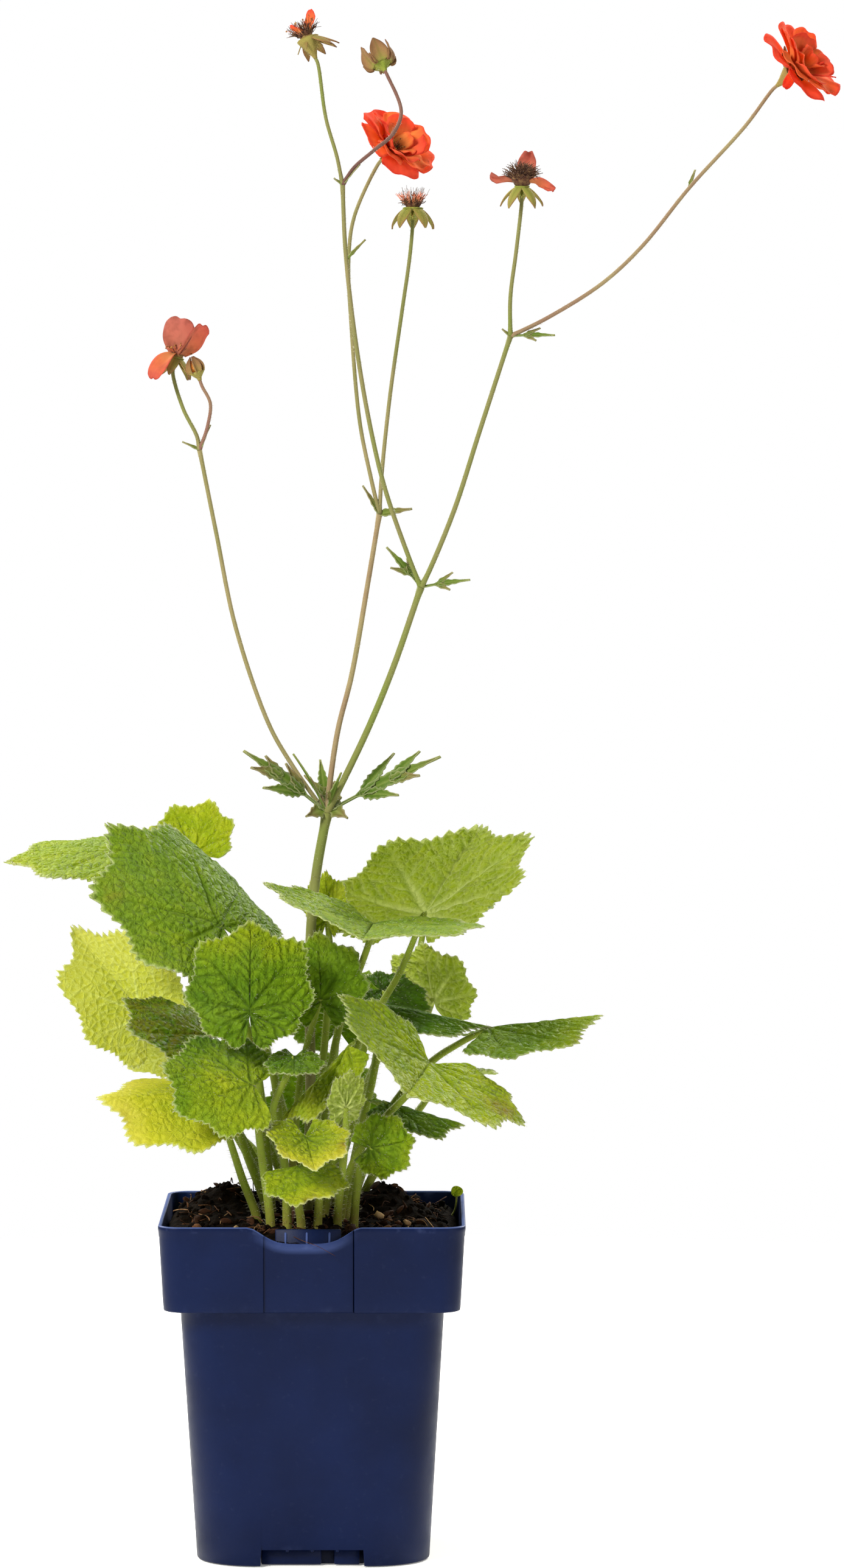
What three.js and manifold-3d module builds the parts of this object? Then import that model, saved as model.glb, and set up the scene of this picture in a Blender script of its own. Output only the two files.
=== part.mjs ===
// A scarlet-flowered avens in a square nursery pot: a rosette of round, toothed, downy leaves on
// long petioles and one tall forking flower stalk with eight heads, from tight bud to spent bloom.
//
// Millimetres, +Z up. The front is seen along +Y with +X to the right, and the origin is the
// middle of the pot's base, on the ground.
import * as THREE from 'three';
import { mergeVertices } from 'three/addons/utils/BufferGeometryUtils.js';
import Module from 'manifold-3d';

const wasm = await Module();
wasm.setup();

// Driving dimensions
const POT = {
  high: 124, rimHalf: 55, collarHigh: 31, collarHalf: 53.2, shoulderHalf: 47.4, footHalf: 42.1,
  rimCorner: 8, shoulderCorner: 10, footCorner: 22, wall: 1.4, floor: 6, floorThick: 1.6,
};
const NOTCH = { wide: 37, high: 6 };               // the gap under each side of the pot
const DIP = { left: -23, right: 18, deep: 6.5 };   // where the front of the rim sinks
const RECESS = { left: -17, right: 15, deep: 0.6 };
const TAB = { left: -13, right: 10, top: 121, back: 3.4, thick: 1.1 };
const GAP = 0.3;                                   // between pieces that touch
const SOIL_LEVEL = 124;                            // at the crown of the plant
const FOOT_DEPTH = 12;                             // how deep each stem stands in its hole
const BLADE = 0.7, PETAL = 0.6;                    // thicknesses
const PETIOLE = { foot: 1.95, tip: 1.05 };         // radii
const SINUS = 150;                                 // degrees from a leaf's tip to its notch

const rad = THREE.MathUtils.degToRad;
const V = (x, y, z) => new THREE.Vector3(x, y, z);

// A repeatable stand-in for chance: the same key always gives the same number from 0 to 1.
const chance = (key) => {
  const wild = Math.sin(key * 127.1 + 11.7) * 43758.5453;
  return wild - Math.floor(wild);
};

// From points to solids
const solidOf = (points, faces) => new wasm.Manifold(new wasm.Mesh({
  numProp: 3,
  vertProperties: Float32Array.from(points.flatMap((p) => [p.x, p.y, p.z])),
  triVerts: Uint32Array.from(faces.flat()),
}));

const solidFrom = (geometry) => {
  const bare = geometry.clone();
  bare.deleteAttribute('normal');
  bare.deleteAttribute('uv');
  const merged = mergeVertices(bare, 1e-4);
  return new wasm.Manifold(new wasm.Mesh({
    numProp: 3,
    vertProperties: Float32Array.from(merged.attributes.position.array),
    triVerts: Uint32Array.from(merged.index.array),
  }));
};

const joined = (solids) => solids.reduce((all, one) => all.add(one));

const geometryOf = (solid) => {
  const mesh = solid.getMesh();
  const geometry = new THREE.BufferGeometry();
  const flat = new Float32Array(mesh.numVert * 3);
  for (let i = 0; i < mesh.numVert; i += 1) {
    for (let k = 0; k < 3; k += 1) flat[i * 3 + k] = mesh.vertProperties[i * mesh.numProp + k];
  }
  geometry.setAttribute('position', new THREE.BufferAttribute(flat, 3));
  geometry.setIndex(new THREE.BufferAttribute(Uint32Array.from(mesh.triVerts), 1));
  geometry.computeVertexNormals();
  return geometry;
};

// Rings of points, each as long as the next, become a skin that is closed by a fan at both ends.
const loft = (rings) => {
  const sides = rings[0].length;
  const points = rings.flat();
  const faces = [];
  for (let r = 0; r + 1 < rings.length; r += 1) {
    for (let i = 0; i < sides; i += 1) {
      const j = (i + 1) % sides, a = r * sides, b = a + sides;
      faces.push([a + i, a + j, b + j], [a + i, b + j, b + i]);
    }
  }
  const middle = (ring) => ring.reduce((sum, p) => sum.add(p), V(0, 0, 0)).divideScalar(sides);
  const first = points.push(middle(rings[0])) - 1;
  const last = points.push(middle(rings.at(-1))) - 1, top = (rings.length - 1) * sides;
  for (let i = 0; i < sides; i += 1) {
    const j = (i + 1) % sides;
    faces.push([first, j, i], [last, top + i, top + j]);
  }
  return solidOf(points, faces);
};

// A round stem along a smooth curve through hand-picked points, its radius easing between ends.
const stem = (through, thick, thin, sides = 5, perSpan = 1, grow = 0) => {
  const curve = new THREE.CatmullRomCurve3(through, false, 'centripetal');
  const steps = (through.length - 1) * perSpan;
  let side = V(0, 1, 0);
  const rings = [];
  for (let k = 0; k <= steps; k += 1) {
    const t = k / steps, at = curve.getPoint(t), along = curve.getTangent(t);
    side = side.clone().addScaledVector(along, -side.dot(along)).normalize();
    const other = V(0, 0, 0).crossVectors(along, side);
    const radius = thick + (thin - thick) * t + grow;
    rings.push(Array.from({ length: sides }, (_, i) => {
      const turn = (i / sides) * Math.PI * 2;
      return at.clone().addScaledVector(side, Math.cos(turn) * radius)
        .addScaledVector(other, Math.sin(turn) * radius);
    }));
  }
  return loft(rings);
};

// Two like skins, half a thickness either side of a surface, closed by a wall round the edge.
const sheet = (surface, places, triangles, edge, thick) => {
  const nudge = 0.02;
  const faces = [], points = [], under = [];
  for (const [u, v] of places) {
    const at = surface(u, v);
    const w = Math.max(u, 3 * nudge);
    const du = surface(w + nudge, v).sub(surface(w - nudge, v));
    const dv = surface(w, v + nudge).sub(surface(w, v - nudge));
    const normal = du.cross(dv).normalize();
    points.push(at.clone().addScaledVector(normal, thick / 2));
    under.push(at.clone().addScaledVector(normal, -thick / 2));
  }
  const n = points.length;
  for (const [a, b, c] of triangles) faces.push([a, b, c], [n + c, n + b, n + a]);
  edge.forEach((a, i) => {
    const b = edge[(i + 1) % edge.length];
    faces.push([b, a, n + a], [b, n + a, n + b]);
  });
  return solidOf([...points, ...under], faces);
};

// Leaves
// A leaf lies along its heading: `aim` is the compass turn from +X towards +Y, `rise` lifts the
// tip and `roll` lifts the left side. Its blade is a near disc with a notch where the petiole
// comes in; the halves fold and arch down from the midrib, and the whole bows along it.
const headingOf = ({ aim, rise, roll = 0 }) => {
  const a = rad(aim), r = rad(rise), q = rad(roll);
  const ahead = V(Math.cos(a) * Math.cos(r), Math.sin(a) * Math.cos(r), Math.sin(r));
  const level = V(-Math.sin(a), Math.cos(a), 0);
  const over = V(0, 0, 0).crossVectors(ahead, level);
  return {
    ahead,
    left: level.clone().multiplyScalar(Math.cos(q)).addScaledVector(over, Math.sin(q)),
    up: over.clone().multiplyScalar(Math.cos(q)).addScaledVector(level, -Math.sin(q)),
  };
};

// The blade's reach in a direction, as a share of its length: a disc whose middle lies ahead of
// the petiole, with a lobe on each of the nine main veins.
const reach = (turn, lead) => {
  const disc = (lead * Math.cos(turn) + Math.sqrt(1 - (lead * Math.sin(turn)) ** 2)) / (1 + lead);
  return disc * (0.975 + 0.025 * Math.cos((turn / rad(38)) * Math.PI * 2));
};

const pair = (value) => (Array.isArray(value) ? value : [value, value]);

const leafSurface = (leaf) => {
  const { at, len, lead = 0.35, wide = 1, fold = 0, arch = 0, bow = 0 } = leaf;
  const { foldl = fold, foldr = fold, archl = arch, archr = arch } = leaf;
  const { ahead, left, up } = headingOf(leaf);
  const base = V(...at);
  return (share, turn) => {
    const r = share * reach(turn, lead) * len;
    const a = r * Math.cos(turn), b = r * Math.sin(turn) * wide;
    const soft = 0.04 * len, side = Math.sqrt(b * b + soft * soft) - soft;
    const [near, far] = pair(turn > 0 ? foldl : foldr).map(rad);
    const slope = near + (far - near) * THREE.MathUtils.clamp(a / (0.8 * len), 0, 1);
    const bend = Math.max(Math.abs(rad(turn > 0 ? archl : archr) / len), 1e-6)
      * Math.sign((turn > 0 ? archl : archr) || 1);
    const out = ((Math.sin(slope + bend * side) - Math.sin(slope)) / bend) * (turn > 0 ? 1 : -1);
    const lift = (Math.cos(slope + bend * side) - Math.cos(slope)) / bend;
    const curl = Math.max(rad(bow) / len, 1e-7), along = curl * a;
    return base.clone()
      .addScaledVector(ahead, Math.sin(along) / curl + lift * Math.sin(along))
      .addScaledVector(left, out)
      .addScaledVector(up, (Math.cos(along) - 1) / curl + lift * Math.cos(along));
  };
};

// Rings of points at growing shares of the blade; the outermost runs through tooth and notch.
const leafBlade = (leaf, counts) => {
  const { open = SINUS } = leaf;
  const places = [[0.001, 0]], rings = [];
  const shares = [0.45, 0.78, 1];
  counts.forEach((count, ring) => {
    rings.push(Array.from({ length: count + 1 }, (_, i) => {
      const turn = rad(-open + (2 * open * i) / count);
      const tooth = ring === 2 && i % 2 === 0 ? 0.955 : 1;
      return places.push([shares[ring] * tooth, turn]) - 1;
    }));
  });
  const triangles = [];
  for (let i = 0; i < counts[0]; i += 1) triangles.push([0, rings[0][i], rings[0][i + 1]]);
  for (let ring = 1; ring < rings.length; ring += 1) {
    const inner = rings[ring - 1], outer = rings[ring];
    for (let i = 0; i + 1 < inner.length; i += 1) {
      triangles.push([inner[i], outer[2 * i], outer[2 * i + 1]],
        [inner[i], outer[2 * i + 1], inner[i + 1]],
        [inner[i + 1], outer[2 * i + 1], outer[2 * i + 2]]);
    }
  }
  const edge = [0, ...rings.map((ring) => ring[0]), ...rings[2].slice(1, -1),
    ...rings.map((ring) => ring.at(-1)).reverse()];
  return sheet(leafSurface(leaf), places, triangles, edge, BLADE);
};

// The line of a petiole: straight up out of its hole, through its bends, to just under the blade.
const petioleLine = ({ foot, via, ...leaf }) => {
  const { ahead, up } = headingOf(leaf);
  const joint = V(...leaf.at).addScaledVector(up, -0.3).addScaledVector(ahead, 0.6);
  const bends = via.map((p) => V(...p)).reverse();
  const ground = V(foot[0], foot[1], SOIL_LEVEL);
  return [ground.clone().add(V(0, 0, -FOOT_DEPTH)), ground, ...bends, joint];
};

const leafSolid = (leaf) => {
  const { len, rings = len > 43 ? [6, 12, 24] : len > 27 ? [5, 10, 20] : [4, 8, 16] } = leaf;
  return joined([leafBlade(leaf, rings), stem(petioleLine(leaf), PETIOLE.foot, PETIOLE.tip, 4)]);
};

const LEAVES = {
  // the front, from left to right and from the top down
  big_upper_left: { at: [-33, -20, 229], aim: 166, rise: 40, roll: -36, len: 56, wide: 0.92,
    archl: 20, archr: 95, foldr: [-4, -10], foot: [-15, -16],
    via: [[-29, -11, 208], [-21, -3, 178]] },
  round_front: { at: [-22, -50, 201], aim: 90, rise: 66, len: 37, lead: 0.42, arch: 20, bow: 10,
    open: 168, foot: [-8, -31], via: [[-19, -35, 192], [-14, -26, 175], [-11, -28, 150]] },
  low_front_left: { at: [-21, -54, 175], aim: 180, rise: 12, roll: -12, len: 34, foldl: 28,
    archl: 50, foldr: -25, open: 125, foot: [-15, -38], via: [[-20, -48, 166], [-18, -42, 148]] },
  yellow_low: { at: [-35, -38, 171], aim: 183, rise: -3, roll: -40, len: 42, foldr: 30, arch: 10,
    open: 115, foot: [-20, -30], via: [[-30, -34, 154], [-25, -31, 138]] },
  yellow_left: { at: [-62, 11, 193], aim: 206, rise: 50, roll: 60, len: 45, wide: 0.72, foldl: 15,
    foldr: 25, open: 130, foot: [-16, -9], via: [[-50, 6, 177], [-28, 4, 150]] },
  yellow_left_low: { at: [-50, 22, 179], aim: 180, rise: 2, roll: 50, len: 25, wide: 0.8,
    open: 110, foot: [-14, 5], via: [[-39, 18, 168], [-26, 12, 148]] },
  olive_left: { at: [-37, -18, 189], aim: 170, rise: 22, roll: -20, len: 36, wide: 0.85,
    fold: 10, open: 110, foot: [-16, -23], via: [[-33, -9, 174], [-25, -13, 148]] },
  far_left: { at: [-71, 30, 253], aim: 185, rise: -5, roll: -12, len: 43, arch: 15, open: 120,
    foot: [-8, 6], via: [[-61, 27, 243], [-40, 30, 200], [-22, 19, 157]] },
  top_back: { at: [-45, 44, 250], aim: 120, rise: 46, roll: -22, len: 24, wide: 1.15, foldl: 10,
    foldr: -22, open: 130, foot: [-7, 13], via: [[-42, 43, 232], [-34, 33, 192], [-19, 24, 157]] },
  right_of_round: { at: [3, -28, 203], aim: 96, rise: 70, len: 26, wide: 1, foot: [-8, -24],
    via: [[-3, -20, 182], [-6, -19, 160]] },
  young: { at: [5, -9, 231], aim: 95, rise: 75, len: 18, wide: 0.7, foot: [-6, -9],
    via: [[6, -8, 219], [2, -6, 166]] },
  bridge: { at: [22, -32, 231], aim: -95, rise: -3, len: 42, wide: 1.4, foldr: -22, foldl: 0,
    foot: [4, -9], via: [[20, -20, 222], [9, -16, 190], [4, -12, 155]] },
  big_right_back: { at: [40, 24, 230], aim: -55, rise: 45, len: 49, wide: 1.25, fold: -8,
    foot: [8, 5], via: [[31, 20, 208], [23, 18.5, 194], [13, 8, 163]] },
  right_mid_back: { at: [44, 50, 195], aim: -113, rise: 64, len: 26, foot: [12, 13],
    via: [[39, 53, 201], [30, 50, 202], [21, 28, 168]] },
  dark_mid: { at: [25, 32, 201], aim: -5, rise: -22, roll: 35, len: 20, wide: 0.9, foot: [2, 6],
    via: [[19, 27, 187], [9, 15, 154]] },
  right_long: { at: [63, 2, 190], aim: 0, rise: 6, len: 43, foldr: 18, foldl: 10, open: 115,
    foot: [14, 0], via: [[53, 5, 184], [42, 10, 176], [26, 13, 156]] },
  right_long_left: { at: [21, 0, 199], aim: 0, rise: -11, len: 44, wide: 0.55, foldr: 28,
    foldl: 5, open: 110, foot: [4, -2], via: [[16, 0, 184], [9, 0, 156]] },
  saddle: { at: [42, -36, 181], aim: -104, rise: -14, roll: -34, len: 35, wide: 1.65, foldl: -12,
    foldr: -16, arch: 12, foot: [10, -22], via: [[36, -30, 171], [22, -28, 156], [14, -25, 142]] },
  diagonal: { at: [13, -36, 187], aim: 180, rise: -48, roll: -10, len: 39, wide: 0.6,
    foldl: 32, foldr: 15, open: 100, foot: [4, -22], via: [[16, -31, 181], [11, -25, 158]] },
  small_centre: { at: [-6, -50, 185], aim: -90, rise: -28, len: 13, wide: 1.25, fold: 10,
    foot: [-9, -37], via: [[-9, -46, 177], [-14, -40, 164], [-10, -38, 146]] },
  pale_small: { at: [12, -50, 166], aim: -70, rise: 70, len: 16, wide: 0.7, foot: [9, -33],
    via: [[12, -46, 155]] },
  low_mid_yellow: { at: [-2, -58, 157], aim: -80, rise: -25, len: 24, wide: 0.95, fold: -15,
    foot: [2, -36], via: [[3, -42, 149]] },
  front_rim_hang: { at: [-5, -54, 146], aim: -50, rise: -25, len: 22, wide: 1.1, foldr: 30,
    open: 120, foot: [-4, -39], via: [[-6, -46, 138]] },
  low_right_hang: { at: [21, -40, 151], aim: 0, rise: 10, roll: 65, len: 17, wide: 1.1,
    foot: [15, -30], via: [[18, -35, 146]] },
  low_right_fold: { at: [26, -6, 164], aim: 0, rise: -17, len: 31, wide: 0.75, foldr: 32,
    foldl: 15, open: 110, foot: [12, -12], via: [[20, -9, 154]] },
  // the back, where the same plant goes on
  back_left: { at: [-56, 50, 213], aim: 150, rise: 10, len: 28, rings: [4, 8, 16], foot: [-6, 20],
    via: [[-49, 44, 197], [-23, 38, 157]] },
  back_mid_left: { at: [-20, 46, 196], aim: 100, rise: 55, len: 30, wide: 0.9, open: 120,
    rings: [4, 8, 16], foot: [-2, 2], via: [[-18, 38, 180], [-8, 14, 147]] },
  back_low_left: { at: [-46, 44, 158], aim: 120, rise: -5, len: 30, rings: [4, 8, 16], foot: [-14, 14],
    via: [[-35, 34, 152], [-20, 22, 140]] },
  back_middle: { at: [8, 56, 186], aim: 90, rise: 58, len: 28, wide: 1.1, arch: 14,
    rings: [4, 8, 16], foot: [0, 11], via: [[7, 48, 174], [2, 26, 146]] },
  back_low_middle: { at: [2, 44, 152], aim: 85, rise: 58, len: 28, wide: 1.2, arch: 12,
    rings: [4, 8, 16], foot: [-1, 20], via: [[1, 38, 145], [-1, 28, 134]] },
  back_right: { at: [41, 68, 227], aim: 70, rise: 20, len: 36, rings: [4, 8, 16], foot: [6, 14],
    via: [[37, 64, 207], [28, 56, 185], [16, 33, 158]] },
  back_low_right: { at: [48, 52, 170], aim: 70, rise: -10, len: 26, rings: [4, 8, 16], foot: [17, 9],
    via: [[40, 42, 158], [25, 22, 140]] },
};

// Flower heads
// Each head grows along its own +Z from the end of its stalk. A petal or sepal is a narrow sheet
// from its claw to its tip; `out` turns it from the axis outwards and `curl` bends it on.
const petalSheet = ({ len, wide, foot = 0.35, tip = 0.5, cup = 0, curl = 0, from = 0, up = 0,
  out = 60, around = 0, rows = 2, cols = 2, round = 0, thick = PETAL }) => {
  const bend = (Math.abs(curl) < 0.1 ? 0.1 : curl);
  const turned = rad(around), open = rad(out);
  const surface = (s, t) => {
    const half = wide * (foot * (1 - s) ** 2 + 2.1 * s * (1 - s) + tip * s * s) * 0.5;
    const angle = open + rad(bend) * s, k = len / rad(bend);
    const radial = from + k * (Math.cos(open) - Math.cos(angle));
    const high = up + k * (Math.sin(angle) - Math.sin(open));
    const lift = cup * t * t * Math.sin(Math.PI * Math.min(s + 0.15, 1));
    const r = radial - lift * Math.cos(angle), z = high + lift * Math.sin(angle);
    const b = half * t;
    return V(r * Math.cos(turned) - b * Math.sin(turned), r * Math.sin(turned)
      + b * Math.cos(turned), z);
  };
  const places = [], triangles = [];
  for (let i = 0; i <= rows; i += 1) {
    for (let j = 0; j <= cols; j += 1) {
      const across = (2 * j) / cols - 1, rounded = i === rows ? round * across * across : 0;
      places.push([i / rows - rounded, across]);
    }
  }
  const at = (i, j) => i * (cols + 1) + j;
  for (let i = 0; i < rows; i += 1) {
    for (let j = 0; j < cols; j += 1) {
      triangles.push([at(i, j), at(i + 1, j), at(i + 1, j + 1)],
        [at(i, j), at(i + 1, j + 1), at(i, j + 1)]);
    }
  }
  const edge = [];
  for (let i = 0; i < rows; i += 1) edge.push(at(i, 0));
  for (let j = 0; j < cols; j += 1) edge.push(at(rows, j));
  for (let i = rows; i > 0; i -= 1) edge.push(at(i, cols));
  for (let j = cols; j > 0; j -= 1) edge.push(at(0, j));
  return sheet(surface, places, triangles, edge, thick);
};

const turnedSolid = (profile, sides = 8) => solidFrom(new THREE.LatheGeometry(
  profile.map(([r, z]) => new THREE.Vector2(r, z)), sides).rotateX(Math.PI / 2));

const PLUG = 1.6;                     // how far a stalk's end reaches into its head
const STALK_TIP = 0.62;               // radius there

const cupSolid = (top, high, neck = 1.4) => turnedSolid(
  [[0, 0], [neck, 0], [top, high], [0, high + 0.2]], 8,
).subtract(turnedSolid([[0, -1], [STALK_TIP + 0.4, -1], [STALK_TIP + 0.4, PLUG + 0.3],
  [0, PLUG + 0.3]], 6));

const around = (count, make, start = 0) => Array.from({ length: count },
  (_, i) => make(start + (360 * i) / count, i));

const calyx = ({ top = 2.6, high = 2.6, start = 0, sepals, small = 5,
  turns = [0, 72, 144, 216, 288] }) => joined([
  cupSolid(top, high),
  ...turns.map((turn) => petalSheet({ tip: 0.12, foot: 0.55, from: top - 0.8, up: high - 0.4,
    around: start + turn, cols: 1, ...sepals })),
  ...around(small, (turn) => petalSheet({ len: 3.6, wide: 1.1, tip: 0.3, foot: 0.9,
    from: top - 1.2, up: high - 1.5, around: turn, rows: 1, cols: 1, out: sepals.out + 16 }),
  start + 36),
]);

// A button of carpels with a brush of filaments standing from its edge.
const brush = ({ wide = 3, high = 4, base = 3.1, count = 8, len = 5, out = 25 }) => joined([
  turnedSolid([[0, base], [wide * 0.6, base], [wide, base + high * 0.4],
    [0, base + high]], 6),
  ...around(count, (turn, i) => {
    const lean = rad(out * (0.7 + 0.6 * chance(i + count))), a = rad(turn);
    const reachOut = V(Math.cos(a) * Math.sin(lean), Math.sin(a) * Math.sin(lean),
      Math.cos(lean));
    const root = V(Math.cos(a) * wide * 0.5, Math.sin(a) * wide * 0.5, base + 0.6);
    return stem([root, root.clone().addScaledVector(reachOut,
      len * (0.85 + 0.3 * chance(i * 3 + 1)))], 0.42, 0.34, 3);
  }),
]);

// The petals of an open bloom overlap at a short claw ring, in an outer and an inner whorl.
const whorls = ({ base = 3.3, layers }) => joined([
  turnedSolid([[0, base], [2.4, base], [2.4, base + 0.9], [0, base + 0.9]], 7),
  ...layers.flatMap(({ count, start = 0, vary = 8, ...petal }) => around(count,
    (turn, i) => petalSheet({ from: 1.8, up: base + 0.5, round: 0.16, ...petal,
      around: turn + vary * (chance(count * 7 + i) - 0.5),
      out: petal.out + vary * (chance(count * 3 + i) - 0.5),
      curl: petal.curl + 3 * vary * (chance(count * 5 + i) - 0.5) }), start)),
]);

const openCalyx = (high = 2.8, top = 2.9) => calyx({ top, high, small: 0,
  sepals: { len: 8, wide: 4.4, out: 70, curl: 14 } });
const openPetals = (base, more = []) => whorls({
  base,
  layers: [
    { count: 5, start: 10, len: 15.5, wide: 13.5, tip: 0.8, out: 52, curl: 36, cup: 1.2,
      foot: 0.12 },
    { count: 4, start: 30, len: 13, wide: 10.5, tip: 0.7, out: 28, curl: 22, cup: 1.2,
      foot: 0.12 },
    ...more,
  ],
});
const openStamens = (base) => brush({ wide: 1.3, high: 2.6, base, count: 5, len: 4.4, out: 16 });
const spentCalyx = (start, sepals, top = 2.8, high = 2.6, turns = undefined) => calyx({
  top, high, start, turns, small: 0,
  sepals: { len: 8.5, wide: 4.6, out: 116, curl: 42, ...sepals },
});
const fewPetals = (petals, base = 3.3) => joined([
  turnedSolid([[0, base], [2.5, base], [2.5, base + 0.8], [0, base + 0.8]], 7),
  ...petals.map((petal) => petalSheet({ from: 2, up: base + 0.4, tip: 0.6, foot: 0.35,
    round: 0.12, ...petal })),
]);

// Where each head stands, which way its axis points, and what it is made of.
const HEADS = {
  bloom_right: { at: [167, -20, 531], aim: -20, rise: 40,
    pieces: {
      calyx: () => openCalyx(6, 3.3),
      petals: () => openPetals(6.5, [
        { count: 1, start: -20, vary: 0, len: 15, wide: 4.2, tip: 0.7, out: 34, curl: 20,
          foot: 0.4 }]),
      stamens: () => openStamens(7.7),
    } },
  bloom_middle: { at: [25.5, -7, 505], aim: -38, rise: 40,
    pieces: { calyx: openCalyx, petals: () => openPetals(3.3), stamens: () => openStamens(4.5) } },
  spent_top: { at: [1, -20, 541], aim: 165, rise: 66,
    pieces: {
      calyx: () => spentCalyx(0, { len: 9, wide: 4.4, out: 122, curl: 20 }, 4.1, 7,
        [-6, -44, 64, 128, 196]),
      petals: () => fewPetals([
        { len: 8.6, wide: 5.6, out: 34, curl: -26, around: -20 },
        { len: 6, wide: 3, out: 30, curl: 10, around: 226 }], 7.7),
      styles: () => brush({ wide: 2.6, high: 3.4, base: 8.8, count: 8, len: 4.6, out: 24 }),
    } },
  bud_top: { at: [26, -26, 536], aim: 125, rise: 50,
    pieces: {
      calyx: () => joined([cupSolid(3.6, 3.2),
        ...around(5, (turn, i) => petalSheet({ len: 8.5 + 2 * chance(i), wide: 6, tip: 0.1,
          foot: 0.7, from: 2.8, up: 2.8, out: 26, curl: -40, cols: 1, around: turn }), 20)]),
      petals: () => turnedSolid([[0, 3.8], [1.7, 3.8], [2.5, 6], [2, 8.4], [0, 9.6]], 7),
    } },
  spent_middle: { at: [36, 0, 484], aim: 90, rise: 88,
    pieces: {
      calyx: () => spentCalyx(-126, { len: 9, wide: 4.4, out: 122, curl: 50 }, 3.4, 3.2),
      stamens: () => brush({ wide: 2.9, high: 2.2, base: 3.8, count: 10, len: 4.4, out: 40 }),
    } },
  spent_right: { at: [75, -28, 492], aim: -90, rise: 84,
    pieces: {
      calyx: () => spentCalyx(-126, { len: 9.5, wide: 5, out: 118, curl: 44 }),
      petals: () => fewPetals([
        { len: 10, wide: 4.6, out: 84, curl: -14, around: 178 },
        { len: 10.5, wide: 7, out: 84, curl: 46, around: -12 },
        { len: 12.5, wide: 7.5, out: 66, curl: -56, around: 80 }]),
      styles: () => brush({ wide: 4.2, high: 4.8, base: 4.4, count: 10, len: 4.4, out: 40 }),
    } },
  bloom_left: { at: [-50, 0, 431], aim: 10, rise: 76,
    pieces: {
      calyx: () => spentCalyx(-112, { len: 9, wide: 4.8, out: 116, curl: 44 }),
      petals: () => fewPetals([
        { len: 14, wide: 11.5, out: 14, curl: -6, cup: -1, around: -118 },
        { len: 14, wide: 9.5, out: 34, curl: -14, cup: -1, around: -48 },
        { len: 17, wide: 7.5, tip: 0.85, out: 106, curl: 76, around: 207 }]),
      stamens: () => brush({ wide: 1.5, high: 2.6, base: 4.4, count: 6, len: 3.8, out: 5 }),
    } },
  bud_left: { at: [-41, -6, 426], aim: 180, rise: 70,
    pieces: {
      calyx: () => joined([cupSolid(2.8, 2.4),
        ...around(5, (turn) => petalSheet({ len: 6, wide: 3.6, tip: 0.12, foot: 0.5,
          from: 2.2, up: 2.1, out: 10, curl: -50, cols: 1, around: turn }))]),
      petals: () => turnedSolid([[0, 3], [1, 3], [1.4, 4.2], [0.9, 5.4], [0, 5.8]], 6),
    } },
};

const axisOf = ({ aim, rise }) => headingOf({ aim, rise }).ahead;

// The last stretch of a stalk runs straight into its head.
const into = (head) => {
  const at = V(...head.at), axis = axisOf(head);
  return [-3, -0.6, PLUG].map((along) => at.clone().addScaledVector(axis, along));
};

// The forking flower stalk
const FORK = {
  low: [5, -10, 269], left: [-41, -2, 400], middle: [24, -8, 377], right: [39, -20, 351],
  top: [11, -24, 495], far: [71, -26, 441],
};
const SCAPE_FOOT = [-2, -14];

const BRANCHES = [
  { from: 'low', to: 'left', thick: 0.85, thin: 0.75,
    via: [[1, -9, 274], [-8, -8, 287], [-16, -6, 301], [-28, -4, 336], [-35, -3, 370]] },
  { from: 'left', head: 'bloom_left', thick: 0.75, via: [[-42, -1, 405], [-47, 0, 415]] },
  { from: 'left', head: 'bud_left', thick: 0.62, via: [[-38, -4, 409], [-37, -6, 417]] },
  { from: 'low', to: 'middle', thick: 1.05, thin: 0.88,
    via: [[6, -10, 279], [9, -8, 299], [14, -7, 319], [20, -7, 353]] },
  { from: 'middle', head: 'bloom_middle', thick: 0.75,
    via: [[21, -8, 390], [17, -9, 410], [14, -9, 444], [13, -9, 469], [15, -8, 484]] },
  { from: 'middle', head: 'spent_middle', thick: 0.75,
    via: [[25, -6, 393], [28, -2, 421], [32, 0, 449], [35, 0, 470]] },
  { from: 'low', to: 'right', thick: 1.25, thin: 1.08,
    via: [[9, -12, 277], [20, -15, 300], [29, -18, 322]] },
  { from: 'right', to: 'top', thick: 0.86, thin: 0.75,
    via: [[35, -22, 361], [26, -24, 387], [20, -24, 413], [15, -24, 444], [12, -24, 472]] },
  { from: 'top', head: 'spent_top', thick: 0.68, via: [[9, -24, 505], [5, -22, 519]] },
  { from: 'top', head: 'bud_top', thick: 0.68,
    via: [[15, -26, 501], [22, -28, 507], [29, -28, 513], [32, -28, 521]] },
  { from: 'right', to: 'far', thick: 0.95, thin: 0.82,
    via: [[42, -21, 357], [51, -23, 379], [60, -25, 407]] },
  { from: 'far', head: 'spent_right', thick: 0.75, via: [[71, -27, 455], [73, -28, 471]] },
  { from: 'far', head: 'bloom_right', thick: 0.75,
    via: [[85, -25, 448], [104, -24, 460], [118, -23, 473], [135, -22, 494], [155, -21, 516]] },
];

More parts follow.
